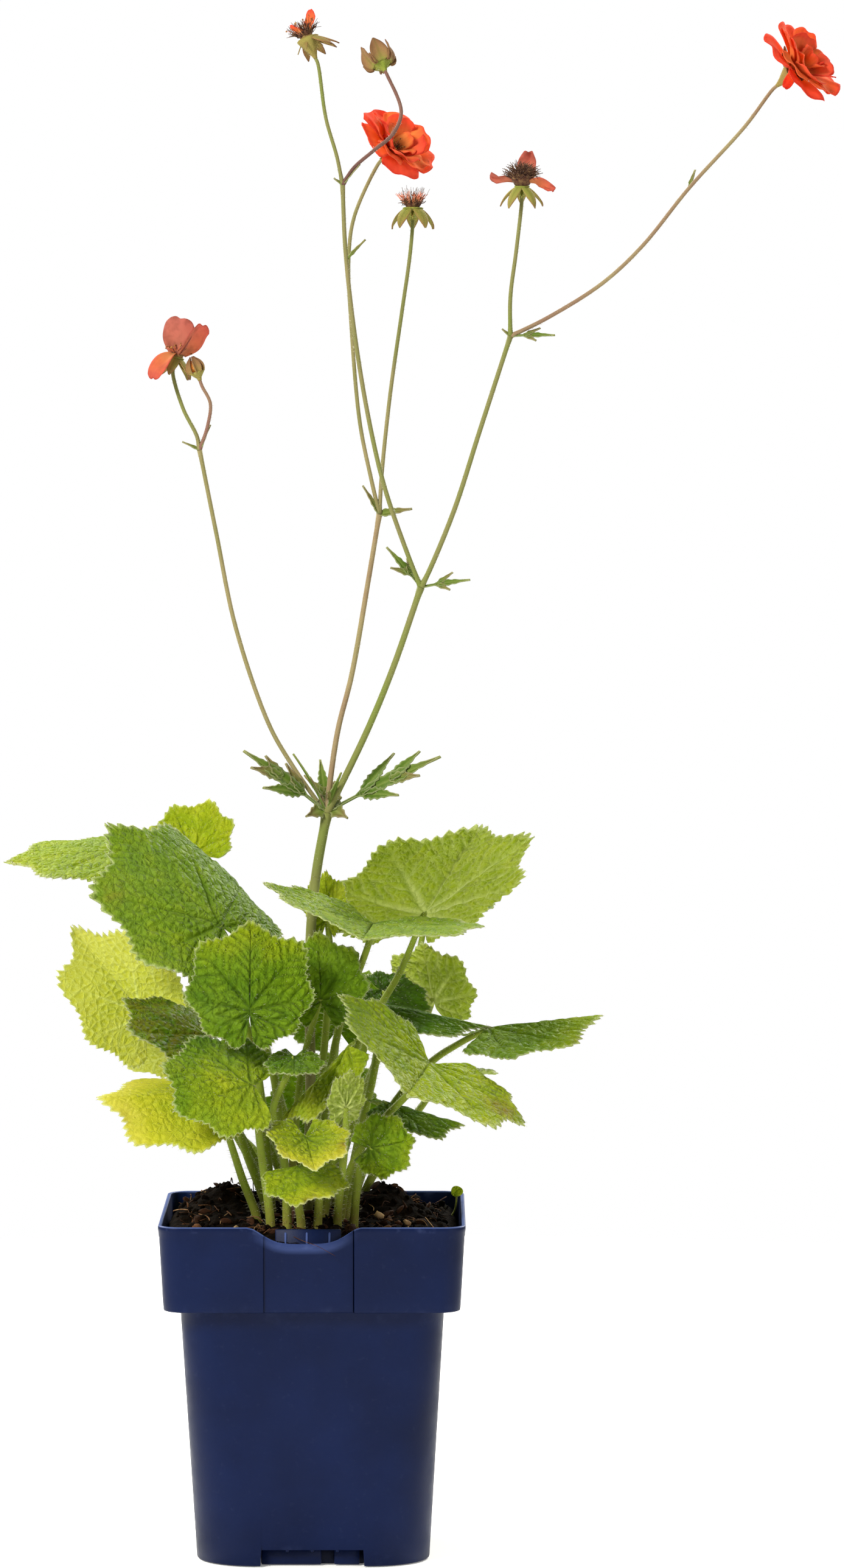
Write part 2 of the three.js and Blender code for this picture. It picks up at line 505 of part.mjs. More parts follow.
// A stalk leaf: a narrow blade cut into pointed side lobes, growing out of a fork.
const bract = ({ at, aim, rise, roll = 0, len, wide, lobes = 2 }) => {
  const { ahead, left, up } = headingOf({ aim, rise, roll });
  const half = [[0, 0.1]];
  for (let k = 0; k < lobes; k += 1) {
    const start = 0.12 + (0.62 * k) / lobes, end = 0.12 + (0.62 * (k + 1)) / lobes;
    half.push([(start + end) / 2 + 0.08, 0.5 - 0.12 * k], [end, 0.13]);
  }
  const outline = [...half.map(([a, b]) => [a * len, b * wide]), [len, 0],
    ...half.map(([a, b]) => [a * len, -b * wide]).reverse()];
  const shape = new THREE.Shape(outline.map(([a, b]) => new THREE.Vector2(a, b)));
  const blade = new THREE.ExtrudeGeometry(shape, { depth: PETAL, bevelEnabled: false });
  blade.translate(-0.8, 0, -PETAL / 2);
  const place = new THREE.Matrix4().makeBasis(ahead, left, up).setPosition(...at);
  return solidFrom(blade.applyMatrix4(place));
};

const BRACTS = [
  { at: FORK.low, aim: 195, rise: 40, roll: -50, len: 38, wide: 15, lobes: 3 },
  { at: FORK.low, aim: -8, rise: 30, roll: 45, len: 46, wide: 15, lobes: 3 },
  { at: FORK.low, aim: 215, rise: 62, roll: -20, len: 26, wide: 8 },
  { at: FORK.low, aim: -60, rise: 62, roll: 20, len: 18, wide: 7 },
  { at: FORK.low, aim: 100, rise: 55, len: 24, wide: 9 },
  { at: FORK.middle, aim: 200, rise: 62, roll: -60, len: 12, wide: 5, lobes: 1 },
  { at: FORK.middle, aim: -5, rise: 12, roll: 50, len: 12, wide: 7, lobes: 1 },
  { at: FORK.right, aim: 190, rise: 52, roll: -60, len: 19, wide: 7 },
  { at: FORK.right, aim: -10, rise: 12, roll: 50, len: 18, wide: 6 },
  { at: FORK.far, aim: -8, rise: 5, roll: 40, len: 16, wide: 6 },
  { at: FORK.far, aim: 185, rise: 45, roll: -50, len: 8, wide: 3, lobes: 1 },
  { at: FORK.left, aim: -15, rise: 70, roll: 50, len: 10, wide: 4, lobes: 1 },
  { at: FORK.left, aim: 190, rise: 30, roll: -40, len: 7, wide: 3, lobes: 1 },
  { at: FORK.top, aim: -30, rise: 50, roll: 50, len: 10, wide: 4, lobes: 1 },
  { at: FORK.top, aim: 200, rise: 40, roll: -50, len: 8, wide: 3, lobes: 1 },
  { at: [13, -24, 469], aim: 170, rise: 50, roll: -50, len: 9, wide: 3, lobes: 1 },
  { at: [135, -22, 494], aim: 60, rise: 60, len: 8, wide: 3, lobes: 1 },
];

const scapeLine = () => [V(...SCAPE_FOOT, SOIL_LEVEL - FOOT_DEPTH),
  V(...SCAPE_FOOT, SOIL_LEVEL), V(-1, -14, 167), V(-1, -13, 222), V(1, -12, 246),
  V(...FORK.low)];

const stalkSolid = () => joined([
  stem(scapeLine(), 2, 1.7),
  ...BRANCHES.map(({ from, to, head, via, thick, thin = STALK_TIP }) => stem(
    [V(...FORK[from]), ...via.map((p) => V(...p)), ...(to ? [V(...FORK[to])]
      : into(HEADS[head]))],
    thick, thin, thick > 1.1 ? 5 : 4)),
  ...BRACTS.map(bract),
]);

// Soil, pot and seedling
// One level of a square with rounded corners, as a ring of points that starts on the +X side.
const ARC = 3;
const squareRing = (z, half, corner, lift = () => 0) => {
  const ring = [];
  for (let quarter = 0; quarter < 4; quarter += 1) {
    const mid = half - corner, c = [[mid, mid], [-mid, mid], [-mid, -mid], [mid, -mid]][quarter];
    for (let k = 0; k <= ARC; k += 1) {
      const turn = rad(90 * quarter + (90 * k) / ARC);
      const x = c[0] + corner * Math.cos(turn), y = c[1] + corner * Math.sin(turn);
      ring.push(V(x, y, z + lift(x, y)));
    }
  }
  return ring;
};

const block = (x0, x1, y0, y1, z0, z1) => solidFrom(new THREE.BoxGeometry(x1 - x0, y1 - y0,
  z1 - z0).translate((x0 + x1) / 2, (y0 + y1) / 2, (z0 + z1) / 2));

const tabSolid = (grow = 0) => block(TAB.left - grow, TAB.right + grow,
  -POT.rimHalf + TAB.back - grow, -POT.rimHalf + TAB.back + TAB.thick + grow,
  POT.high - POT.collarHigh + POT.wall - 0.4 - grow, TAB.top + grow);

const potSolid = () => {
  const { high, wall, floor, floorThick } = POT;
  const shoulder = high - POT.collarHigh;
  const shell = loft([
    squareRing(floor, POT.footHalf - wall - 0.5, POT.footCorner - wall),
    squareRing(0, POT.footHalf - wall, POT.footCorner - wall),
    squareRing(0, POT.footHalf, POT.footCorner),
    squareRing(shoulder, POT.shoulderHalf, POT.shoulderCorner),
    squareRing(shoulder, POT.collarHalf, POT.rimCorner),
    squareRing(high, POT.rimHalf, POT.rimCorner),
    squareRing(high, POT.rimHalf - wall, POT.rimCorner - wall),
    squareRing(shoulder + wall, POT.collarHalf - wall, POT.rimCorner - wall),
    squareRing(shoulder + wall, POT.shoulderHalf - wall, POT.shoulderCorner - wall),
    squareRing(floor + floorThick, POT.footHalf - wall + 0.1, POT.footCorner - wall),
  ]);
  const middle = (DIP.left + DIP.right) / 2, span = (DIP.right - DIP.left) / 2;
  const dip = new THREE.Shape([new THREE.Vector2(DIP.left, high + 1),
    ...Array.from({ length: 9 }, (_, i) => {
      const t = -1 + i / 4;
      return new THREE.Vector2(middle + span * t,
        high + 0.01 - DIP.deep * (0.5 + 0.5 * Math.cos(Math.PI * t)));
    }), new THREE.Vector2(DIP.right, high + 1)]);
  const dipCut = solidFrom(new THREE.ExtrudeGeometry(dip, { depth: 3, bevelEnabled: false })
    .rotateX(Math.PI / 2).translate(0, -POT.rimHalf + 2.4, 0));
  // The collar's front is sunk between two raised panels, as deep at the top as at the bottom.
  const face = (z) => -POT.collarHalf + RECESS.deep
    - ((POT.rimHalf - POT.collarHalf) * (z - shoulder)) / POT.collarHigh;
  const panel = loft([RECESS.left, RECESS.right].map((x) => [
    V(x, face(shoulder - 1), shoulder - 1), V(x, face(high + 1), high + 1),
    V(x, face(high + 1) - 3, high + 1), V(x, face(shoulder - 1) - 3, shoulder - 1),
  ]));
  const cuts = [dipCut, panel];
  for (let side = 0; side < 4; side += 1) {
    const far = block(-NOTCH.wide / 2, NOTCH.wide / 2, POT.footHalf - 8, POT.footHalf + 8, -1,
      NOTCH.high);
    cuts.push(far.rotate([0, 0, 90 * side]));
    const hole = solidFrom(new THREE.CylinderGeometry(4, 4, 6, 8).rotateX(Math.PI / 2)
      .translate(20, 20, floor + 1));
    cuts.push(hole.rotate([0, 0, 90 * side]));
  }
  const pad = solidFrom(new THREE.CylinderGeometry(8, 9, floor + 0.4, 12).rotateX(Math.PI / 2)
    .translate(0, 0, (floor + 0.4) / 2));
  return shell.subtract(joined(cuts)).add(pad).add(tabSolid());
};

// The peat heaps up on both sides of the crown and sinks towards the right-hand rim.
const heap = (x, y, cx, cy, high, wide) => high * Math.exp(
  -((x - cx) ** 2 + (y - cy) ** 2) / (2 * wide * wide));
const soilTop = (x, y) => 119.5 + heap(x, y, -32, 2, 12, 12) + heap(x, y, 25, 8, 12, 9)
  + heap(x, y, -4, -16, 4.6, 18) + heap(x, y, -45, -25, 3.5, 14)
  + 1.4 * (chance(Math.round(x * 3) + Math.round(y * 5) * 7) - 0.5);

const soilSolid = (holes) => {
  const { high, wall, floor, floorThick } = POT;
  const shoulder = high - POT.collarHigh, inset = wall + GAP;
  const onTop = (half) => squareRing(0, half, Math.max(POT.rimCorner * (half / 52), 1), soilTop);
  const mass = loft([
    squareRing(floor + floorThick + GAP, POT.footHalf - inset, POT.footCorner - inset),
    squareRing(shoulder + wall + GAP - 0.1, POT.shoulderHalf - inset - 0.2,
      POT.shoulderCorner - inset),
    squareRing(shoulder + wall + GAP, POT.collarHalf - inset, POT.rimCorner - inset),
    squareRing(114, POT.collarHalf + 1 - inset, POT.rimCorner - inset),
    onTop(POT.collarHalf + 1.1 - inset), onTop(40), onTop(28), onTop(12),
  ]);
  return mass.subtract(tabSolid(GAP)).subtract(joined(holes));
};

const SEEDLING = { foot: [49, 24], neck: [51.6, 24, 121], leaf: [53.6, 24, 127.4], half: 2.2 };
const seedlingLine = () => [V(...SEEDLING.foot, 112), V(SEEDLING.foot[0] + 0.6, 24, 117),
  V(...SEEDLING.neck), V(...SEEDLING.leaf)];
const seedlingSolid = () => joined([
  stem(seedlingLine(), 0.45, 0.35),
  solidFrom(new THREE.CylinderGeometry(SEEDLING.half, SEEDLING.half, 0.6, 10)
    .rotateX(Math.PI / 2 - 0.9).translate(...SEEDLING.leaf)),
]);

// Each stem stands in a plain hole that follows its own line a little wider.
const holeFor = (line, thick, thin, sides, perSpan) => stem(
  [line[0].clone().add(V(0, 0, -GAP)), ...line.slice(1)], thick, thin, sides, perSpan, GAP + 0.1);

const holes = () => [
  ...Object.values(LEAVES).map((leaf) => holeFor(petioleLine(leaf), PETIOLE.foot, PETIOLE.tip,
    4)),
  holeFor(scapeLine(), 2, 1.7),
  holeFor(seedlingLine(), 0.45, 0.35),
];

// Finishes and the assembled object
const finish = (color, roughness = 0.8, metalness = 0) => new THREE.MeshStandardMaterial(
  { color, roughness, metalness });
const FINISH = {
  pot: finish(0x232d5f, 0.45),
  soil: finish(0x2c1c12, 0.95),
  leaf: finish(0x6c9a1f, 0.75),
  youngLeaf: finish(0xa8b04a, 0.75),
  stalk: finish(0x9a9a5a, 0.75),
  calyx: finish(0x8c8f4e, 0.8),
  petals: finish(0xd8401c, 0.6),
  stamens: finish(0x9a6a3c, 0.85),
};
const PALE = ['yellow_left', 'yellow_left_low', 'yellow_low', 'low_mid_yellow'];

const part = new THREE.Group();
const put = (name, solid, material, into_ = part) => {
  const mesh = new THREE.Mesh(geometryOf(solid), material);
  mesh.name = name;
  into_.add(mesh);
};

put('pot', potSolid(), FINISH.pot);
put('soil', soilSolid(holes()), FINISH.soil);
put('seedling', seedlingSolid(), FINISH.leaf);
put('flower_stalk', stalkSolid(), FINISH.stalk);
for (const [name, leaf] of Object.entries(LEAVES)) {
  put(`leaf_${name}`, leafSolid(leaf), PALE.includes(name) ? FINISH.youngLeaf : FINISH.leaf);
}
for (const [name, head] of Object.entries(HEADS)) {
  const group = new THREE.Group();
  group.position.set(...head.at);
  group.quaternion.setFromUnitVectors(V(0, 0, 1), axisOf(head));
  for (const [piece, make] of Object.entries(head.pieces)) {
    put(`${name}_${piece}`, make(), FINISH[piece === 'styles' ? 'stamens' : piece], group);
  }
  part.add(group);
}

export default part;
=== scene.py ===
# %% [markdown]
# # A potted avens in flower
#
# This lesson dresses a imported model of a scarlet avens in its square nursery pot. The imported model
# is the frame: it says where each leaf, stalk, flower and the pot stand, and how big they are. Each
# cell below makes one kind of piece on that frame and gives it a finish that a gardener would know:
# downy leaves, silky petals, dry brown styles, moist peat and moulded plastic.

import math

import bpy
import numpy as np
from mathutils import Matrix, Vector


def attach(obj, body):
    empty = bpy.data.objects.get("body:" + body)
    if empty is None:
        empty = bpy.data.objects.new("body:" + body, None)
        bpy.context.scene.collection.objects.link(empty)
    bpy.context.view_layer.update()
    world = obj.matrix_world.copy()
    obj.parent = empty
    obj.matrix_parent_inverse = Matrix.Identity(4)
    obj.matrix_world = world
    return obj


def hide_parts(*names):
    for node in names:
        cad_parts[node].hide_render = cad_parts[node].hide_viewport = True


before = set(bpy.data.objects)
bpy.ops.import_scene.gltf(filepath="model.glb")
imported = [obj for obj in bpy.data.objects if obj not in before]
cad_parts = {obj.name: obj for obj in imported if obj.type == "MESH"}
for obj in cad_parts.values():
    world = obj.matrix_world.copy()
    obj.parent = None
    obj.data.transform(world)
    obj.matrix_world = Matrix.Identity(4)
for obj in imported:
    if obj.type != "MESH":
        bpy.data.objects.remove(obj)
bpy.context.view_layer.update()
MM = 0.001
print("nodes in the frame:", len(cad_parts))

# %% [markdown]
# ## Camera, floor and light
#
# The plant was seen from two and a half metres away, at three quarters of its height, so its
# upright lines stay nearly parallel. A long lens from the same place gives the same view. The floor
# and the air round it are white, and four large soft lamps stand in for a studio's window light.
# The strongest, in front on the left, models the leaves. A weak one in front on the right opens
# their shade, and two from behind shine through them.

# %% Camera
EYE = (39.4, -2500, 433)
AIM = (39.4, 0, 279)
LENS = 158.5


def looking(source, target):
    return (Vector(target) - Vector(source)).to_track_quat("-Z", "Y").to_euler()


camera = bpy.data.objects.new("camera", bpy.data.cameras.new("camera"))
bpy.context.scene.collection.objects.link(camera)
camera.location = Vector(EYE) * MM
camera.rotation_euler = looking(EYE, AIM)
camera.data.sensor_fit = "VERTICAL"
camera.data.sensor_height = 36
camera.data.lens = LENS
camera.data.clip_end = 50
bpy.context.scene.camera = camera
print("camera", round((Vector(EYE) - Vector(AIM)).length), "mm away")

# %% Floor, air and lamps
LAMPS = {
    "front_left": {"at": (-1500, -1700, 1700), "size": 0.8, "power": 100},
    "front_right": {"at": (1700, -1500, 700), "size": 1.2, "power": 18},
    "back_left": {"at": (-1100, 1400, 1500), "size": 0.9, "power": 60},
    "back_right": {"at": (1000, 1500, 1300), "size": 0.9, "power": 60},
}
LIT_PLACE = (0, 0, 250)
AIR_LIGHT = 0.26
FLOOR = {"radius": 0.9, "top": -0.0004, "sides": 96, "glow": 0.16}
scene = bpy.context.scene
scene.view_settings.view_transform = "Standard"
air = bpy.data.worlds.new("air")
scene.world = air
air.use_nodes = True
sky = air.node_tree
soft_air = sky.nodes["Background"]
soft_air.inputs["Color"].default_value = (1, 1, 0.97, 1)
soft_air.inputs["Strength"].default_value = AIR_LIGHT
clear_air = sky.nodes.new("ShaderNodeBackground")
clear_air.inputs["Color"].default_value = (1, 1, 1, 1)
ray = sky.nodes.new("ShaderNodeLightPath")
either = sky.nodes.new("ShaderNodeMixShader")
sky.links.new(ray.outputs["Is Camera Ray"], either.inputs[0])
sky.links.new(soft_air.outputs[0], either.inputs[1])
sky.links.new(clear_air.outputs[0], either.inputs[2])
sky.links.new(either.outputs[0], sky.nodes["World Output"].inputs["Surface"])

for name, lamp in LAMPS.items():
    light = bpy.data.lights.new(name, "AREA")
    light.size = lamp["size"]
    light.energy = lamp["power"]
    light.color = (1, 0.98, 0.9)
    stand = bpy.data.objects.new(name, light)
    stand.location = Vector(lamp["at"]) * MM
    stand.rotation_euler = looking(lamp["at"], LIT_PLACE)
    scene.collection.objects.link(stand)

paper = bpy.data.materials.new("white_floor")
paper.use_nodes = True
white = paper.node_tree.nodes["Principled BSDF"]
white.inputs["Base Color"].default_value = (0.93, 0.93, 0.93, 1)
white.inputs["Roughness"].default_value = 0.9
white.inputs["Emission Color"].default_value = (1, 1, 1, 1)
white.inputs["Emission Strength"].default_value = FLOOR["glow"]
mesh = bpy.data.meshes.new("floor")
turn = np.linspace(0, 2 * math.pi, FLOOR["sides"], endpoint=False)
ring = np.stack([FLOOR["radius"] * np.cos(turn), FLOOR["radius"] * np.sin(turn),
                 np.full(FLOOR["sides"], FLOOR["top"])], 1)
mesh.from_pydata(ring.tolist(), [], [list(range(FLOOR["sides"]))])
mesh.materials.append(paper)
floor = bpy.data.objects.new("floor", mesh)
scene.collection.objects.link(floor)
print("lamps:", ", ".join(LAMPS))

# %% [markdown]
# ## From arrays of points to pieces
#
# A leaf, a petal or a pot wall is easiest to describe as a grid of points worked out by a formula,
# so numpy makes the grids and Blender only receives the result. A `skin` is one run of points and
# faces with a finish. It also carries marks: a number at each point, such as how near a vein is,
# which the finish can read by name. A piece is one or more skins in one mesh. All sizes are in
# millimetres until a piece is made.

# %% Skins and pieces
def skin(points, faces, finish, **marks):
    points = np.asarray(points, float).reshape(-1, 3)
    marks = {key: np.broadcast_to(value, len(points)) for key, value in marks.items()}
    return {"points": points, "faces": np.asarray(faces), "finish": finish, "marks": marks}


def make_piece(name, skins, nodes, sharp=None):
    """Join skins into one mesh that stands in for nodes of the frame."""
    mesh = bpy.data.meshes.new(name)
    starts = np.cumsum([0] + [len(s["points"]) for s in skins])
    faces = [row for s, start in zip(skins, starts) for row in (s["faces"] + start).tolist()]
    mesh.from_pydata(np.vstack([s["points"] for s in skins]) * MM, [], faces)
    finishes = list(dict.fromkeys(s["finish"] for s in skins))
    for finish in finishes:
        mesh.materials.append(bpy.data.materials[finish])
    index = np.concatenate([np.full(len(s["faces"]), finishes.index(s["finish"])) for s in skins])
    mesh.polygons.foreach_set("material_index", index.astype(np.int32))
    mesh.polygons.foreach_set("use_smooth", np.ones(len(index), bool))
    for key in sorted({key for s in skins for key in s["marks"]}):
        values = [s["marks"].get(key, np.zeros(len(s["points"]))) for s in skins]
        layer = mesh.attributes.new(key, "FLOAT", "POINT")
        layer.data.foreach_set("value", np.concatenate(values).astype(np.float32))
    if sharp:
        mesh.set_sharp_from_angle(angle=math.radians(sharp))
    piece = bpy.data.objects.new(name, mesh)
    scene.collection.objects.link(piece)
    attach(piece, "root")
    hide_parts(*nodes)
    return piece


def sheet_faces(rows, columns):
    """Two grids of quads, one over the other, and a wall round their edge."""
    size = rows * columns
    corner = (np.arange(rows - 1)[:, None] * columns + np.arange(columns - 1)).ravel()
    top = np.stack([corner, corner + columns, corner + columns + 1, corner + 1], 1)
    order = np.arange(size).reshape(rows, columns)
    edge = np.concatenate([order[:-1, 0], order[-1, :-1], order[:0:-1, -1], order[0, :0:-1]])
    ahead = np.roll(edge, -1)
    walls = np.stack([ahead, edge, edge + size, ahead + size], 1)
    return np.vstack([top, top[:, ::-1] + size, walls])


def ring_faces(rings, sides):
    """A wall through a run of rings, and strips of quads that close its two ends."""
    first = np.arange((rings - 1) * sides).reshape(-1, sides)
    second = np.roll(first, -1, axis=1)
    walls = np.stack([first, second, second + sides, first + sides], 2).reshape(-1, 4)
    strip = np.arange(sides // 2 - 1)
    cap = np.stack([strip, strip + 1, sides - 2 - strip, sides - 1 - strip], 1)
    return np.vstack([walls, cap[:, ::-1], cap + (rings - 1) * sides])


def unit(vectors):
    return vectors / np.maximum(np.linalg.norm(vectors, axis=-1, keepdims=True), 1e-9)


def normals_of(grid):
    return unit(np.cross(np.gradient(grid, axis=0), np.gradient(grid, axis=1)))


def thin_sheet(middle, thick, finish, lift=0, **marks):
    """A closed blade: two skins either side of a grid of points, joined round the edge."""
    rows, columns = middle.shape[:2]
    normal = normals_of(middle)
    middle = middle + normal * np.broadcast_to(lift, (rows, columns))[..., None]
    points = np.concatenate([(middle + normal * thick / 2).reshape(-1, 3),
                             (middle - normal * thick / 2).reshape(-1, 3)])
    flat = {key: np.tile(np.broadcast_to(value, (rows, columns)).ravel(), 2)
            for key, value in marks.items()}
    flat["under"] = np.repeat([0.0, 1.0], rows * columns)
    return skin(points, sheet_faces(rows, columns), finish, **flat)


print("a sheet of 10 by 10 places has", len(sheet_faces(10, 10)), "faces")

# %% Unevenness that is the same each run
def scatter(cells, seed):
    """A number from 0 to 1 for each whole-number cell of space."""
    mixed = cells[..., 0] * 73856093 ^ cells[..., 1] * 19349663 ^ cells[..., 2] * 83492791
    mixed = (mixed + seed * 1013904223) & 0xFFFFFFFF
    mixed = ((mixed ^ (mixed >> 15)) * 2246822519) & 0xFFFFFFFF
    mixed = ((mixed ^ (mixed >> 13)) * 3266489917) & 0xFFFFFFFF
    return (mixed ^ (mixed >> 16)) / 4294967296.0


def uneven(points, size, seed=0):
    """Smooth hills and dips about `size` wide, from -1 to 1, at points in millimetres."""
    place = np.asarray(points, float) / size
    low = np.floor(place).astype(np.int64)
    share = place - low
    share = share * share * (3 - 2 * share)
    total = 0
    for corner in np.ndindex(2, 2, 2):
        weight = np.prod(np.where(np.array(corner) == 1, share, 1 - share), axis=-1)
        total = total + weight * scatter(low + np.array(corner), seed)
    return total * 2 - 1


def flat_uneven(x, y, layer, size, seed):
    """The same over flat places, where each layer has hills of its own."""
    return uneven(np.stack([x, y, x * 0 + layer], -1), size, seed)


print("unevenness at the origin:", round(float(uneven([[0.0, 0.0, 0.0]], 5)[0]), 3))

# %% [markdown]
# ## Stems from listed points
#
# A stem is a tube that follows a smooth curve through a few points. The curve used here passes
# through every point and never loops between close ones (it is known as a centripetal spline), and
# it is the one that the imported solids follow, so the finer stem lies exactly in the plainer one.

# %% Curves and tubes
def smooth_line(points, per_span):
    points = np.asarray(points, float)
    padded = np.vstack([2 * points[0] - points[1], points, 2 * points[-1] - points[-2]])
    line = []
    for before, start, end, after in zip(padded, padded[1:], padded[2:], padded[3:]):
        gaps = [math.sqrt(np.linalg.norm(b - a)) for a, b in
                ((before, start), (start, end), (end, after))]
        leave = ((start - before) / gaps[0] - (end - before) / (gaps[0] + gaps[1])
                 + (end - start) / gaps[1]) * gaps[1]
        arrive = ((end - start) / gaps[1] - (after - start) / (gaps[1] + gaps[2])
                  + (after - end) / gaps[2]) * gaps[1]
        for t in np.arange(per_span) / per_span:
            line.append(start + leave * t + (3 * (end - start) - 2 * leave - arrive) * t ** 2
                        + (2 * (start - end) + leave + arrive) * t ** 3)
    return np.array(line + [points[-1]])


def frames_along(line):
    """Two directions square to the line at each of its points, turning as little as they can."""
    along = unit(np.gradient(line, axis=0))
    side = np.array([0.0, 1.0, 0.0])
    sides = []
    for direction in along:
        side = unit(side - direction * np.dot(side, direction))
        sides.append(side)
    sides = np.array(sides)
    return along, sides, np.cross(along, sides)


def tube(line, radius, finish, sides, **marks):
    """A closed stem round a line."""
    _, side, other = frames_along(line)
    turn = np.linspace(0, 2 * math.pi, sides, endpoint=False)
    radius = np.broadcast_to(radius, len(line))[:, None, None]
    rings = line[:, None] + radius * (side[:, None] * np.cos(turn)[:, None]
                                      + other[:, None] * np.sin(turn)[:, None])
    marks = {key: np.repeat(np.broadcast_to(value, len(line)), sides)
             for key, value in marks.items()}
    marks["up_stem"] = np.repeat(np.linspace(0, 1, len(line)), sides)
    return skin(rings, ring_faces(len(line), sides), finish, **marks)


def hairs(roots, ways, lengths, thick):
    """Short stiff hairs, each a slim three-sided spike from its root along its way."""
    ways = unit(ways)
    side = unit(np.cross(ways, [0.31, 0.83, 0.46]))
    other = np.cross(ways, side)
    lengths = np.broadcast_to(lengths, len(roots))[:, None]
    corners = [roots + thick * (side * math.cos(a) + other * math.sin(a)) for a in (0, 2.1, 4.2)]
    points = np.stack(corners + [roots + ways * lengths], 1)
    base = np.arange(len(roots))[:, None] * 4
    faces = np.concatenate([base + [0, 1, 3], base + [1, 2, 3], base + [2, 0, 3],
                            base + [2, 1, 0]])
    return skin(points, faces, "down")


def stem_hairs(line, radius, per_mm, length, seed, share, thick=0.06):
    """Hairs all round a stem between two shares of its length, leaning a little upwards."""
    chance = np.random.default_rng(seed)
    steps = np.linalg.norm(np.diff(line, axis=0), axis=1)
    reach_up = np.concatenate([[0], np.cumsum(steps)])
    count = int(reach_up[-1] * per_mm * (share[1] - share[0]))
    where = chance.uniform(share[0], share[1], count) * reach_up[-1]
    turn = chance.uniform(0, 2 * math.pi, count)[:, None]
    along, side, other = (np.stack([np.interp(where, reach_up, part[:, k]) for k in range(3)], 1)
                          for part in frames_along(line))
    middle = np.stack([np.interp(where, reach_up, line[:, k]) for k in range(3)], 1)
    out = unit(side * np.cos(turn) + other * np.sin(turn))
    girth = np.interp(where, reach_up, np.broadcast_to(radius, len(line)))[:, None]
    ways = out + along * 0.25 + chance.normal(0, 0.22, (count, 3))
    return hairs(middle + out * girth * 0.97, ways, length * chance.uniform(0.5, 1.1, count), thick)


print("a stem of 5 rings of 8 places has", len(ring_faces(5, 8)), "faces")

# %% [markdown]
# ## Finishes
#
# A finish here is a small network of nodes on Blender's main shader. The colour is never flat: it
# runs along a ramp that the marks on the mesh steer, with clouds of noise laid over it. The noise
# is measured in millimetres on the real object, so a crumb of peat or the net of a leaf's veins
# comes out at its own size however big the piece is.

# %% Helpers for finishes
def shade(code):
    """A colour as it is seen on a screen, turned into the amounts of light a shader needs."""
    parts = [int(code[k:k + 2], 16) / 255 for k in (0, 2, 4)]
    return tuple(c / 12.92 if c < 0.04 else ((c + 0.055) / 1.055) ** 2.4 for c in parts) + (1,)


def new_finish(name, **sockets):
    material = bpy.data.materials.new(name)
    material.use_nodes = True
    shader = material.node_tree.nodes["Principled BSDF"]
    for socket, value in sockets.items():
        shader.inputs[socket.replace("_", " ")].default_value = value
    return material.node_tree, shader


def add_node(tree, kind, inputs, **settings):
    made = tree.nodes.new("ShaderNode" + kind)
    for key, value in settings.items():
        setattr(made, key, value)
    for key, value in inputs.items():
        if isinstance(value, bpy.types.NodeSocket):
            tree.links.new(value, made.inputs[key])
        else:
            made.inputs[key].default_value = value
    return made


def mark(tree, name):
    return add_node(tree, "Attribute", {}, attribute_name=name).outputs["Fac"]


def sums(tree, way, first, second=0.0, third=0.0):
    clamp = way != "MULTIPLY_ADD"
    return add_node(tree, "Math", {0: first, 1: second, 2: third}, operation=way,
                    use_clamp=clamp).outputs[0]


def times(tree, first, second):
    return sums(tree, "MULTIPLY", first, second)


def rest_of(tree, share):
    return sums(tree, "SUBTRACT", 1.0, share)


def places(tree, size):
    return {"Vector": add_node(tree, "TexCoord", {}).outputs["Object"], "Scale": 1000 / size}


def clouds(tree, size, detail):
    """Noise whose lumps are about `size` millimetres wide."""
    return add_node(tree, "TexNoise", {**places(tree, size), "Detail": detail}).outputs["Fac"]


def strong_clouds(tree, size, detail, gain, shift):
    return sums(tree, "MULTIPLY_ADD", clouds(tree, size, detail), gain, shift)


def crackle(tree, size):
    """How far each place is from the lines between cells about `size` millimetres wide."""
    return add_node(tree, "TexVoronoi", places(tree, size),
                    feature="DISTANCE_TO_EDGE").outputs["Distance"]


def ramp(tree, value, stops):
    made = add_node(tree, "ValToRGB", {"Fac": value})
    elements = made.color_ramp.elements
    elements[0].position, elements[0].color = stops[0][0], shade(stops[0][1])
    elements[1].position, elements[1].color = stops[-1][0], shade(stops[-1][1])
    for position, code in stops[1:-1]:
        elements.new(position).color = shade(code)
    return made.outputs["Color"]


def toned(tree, name, size, detail, sway, stops):
    """A ramp that a mark steers, with clouds that push it up and down."""
    push = strong_clouds(tree, size, detail, sway, -sway / 2)
    return ramp(tree, sums(tree, "ADD", mark(tree, name), push), stops)


def over(tree, share, below, above, way="MIX"):
    above = shade(above) if isinstance(above, str) else above
    return add_node(tree, "Mix", {0: share, 6: below, 7: above}, data_type="RGBA",
                    blend_type=way).outputs[2]


def paint(tree, shader, color):
    tree.links.new(color, shader.inputs["Base Color"])


def relief(tree, shader, height, deep):
    """Fine bumps `deep` millimetres high, which the light sees and the mesh needn't hold."""
    bump = add_node(tree, "Bump", {"Height": height, "Distance": deep * MM, "Strength": 1.0})
    tree.links.new(bump.outputs["Normal"], shader.inputs["Normal"])


def lets_light_through(tree, shader, color, share):
    """Mix in some light that passes through a thin leaf or petal from behind."""
    glow = add_node(tree, "BsdfTranslucent", {"Color": color})
    both = add_node(tree, "MixShader", {0: share, 1: shader.outputs[0], 2: glow.outputs[0]})
    tree.links.new(both.outputs[0], tree.nodes["Material Output"].inputs["Surface"])


print("a mid grey on the screen is", round(shade("808080")[0], 3), "of the light")
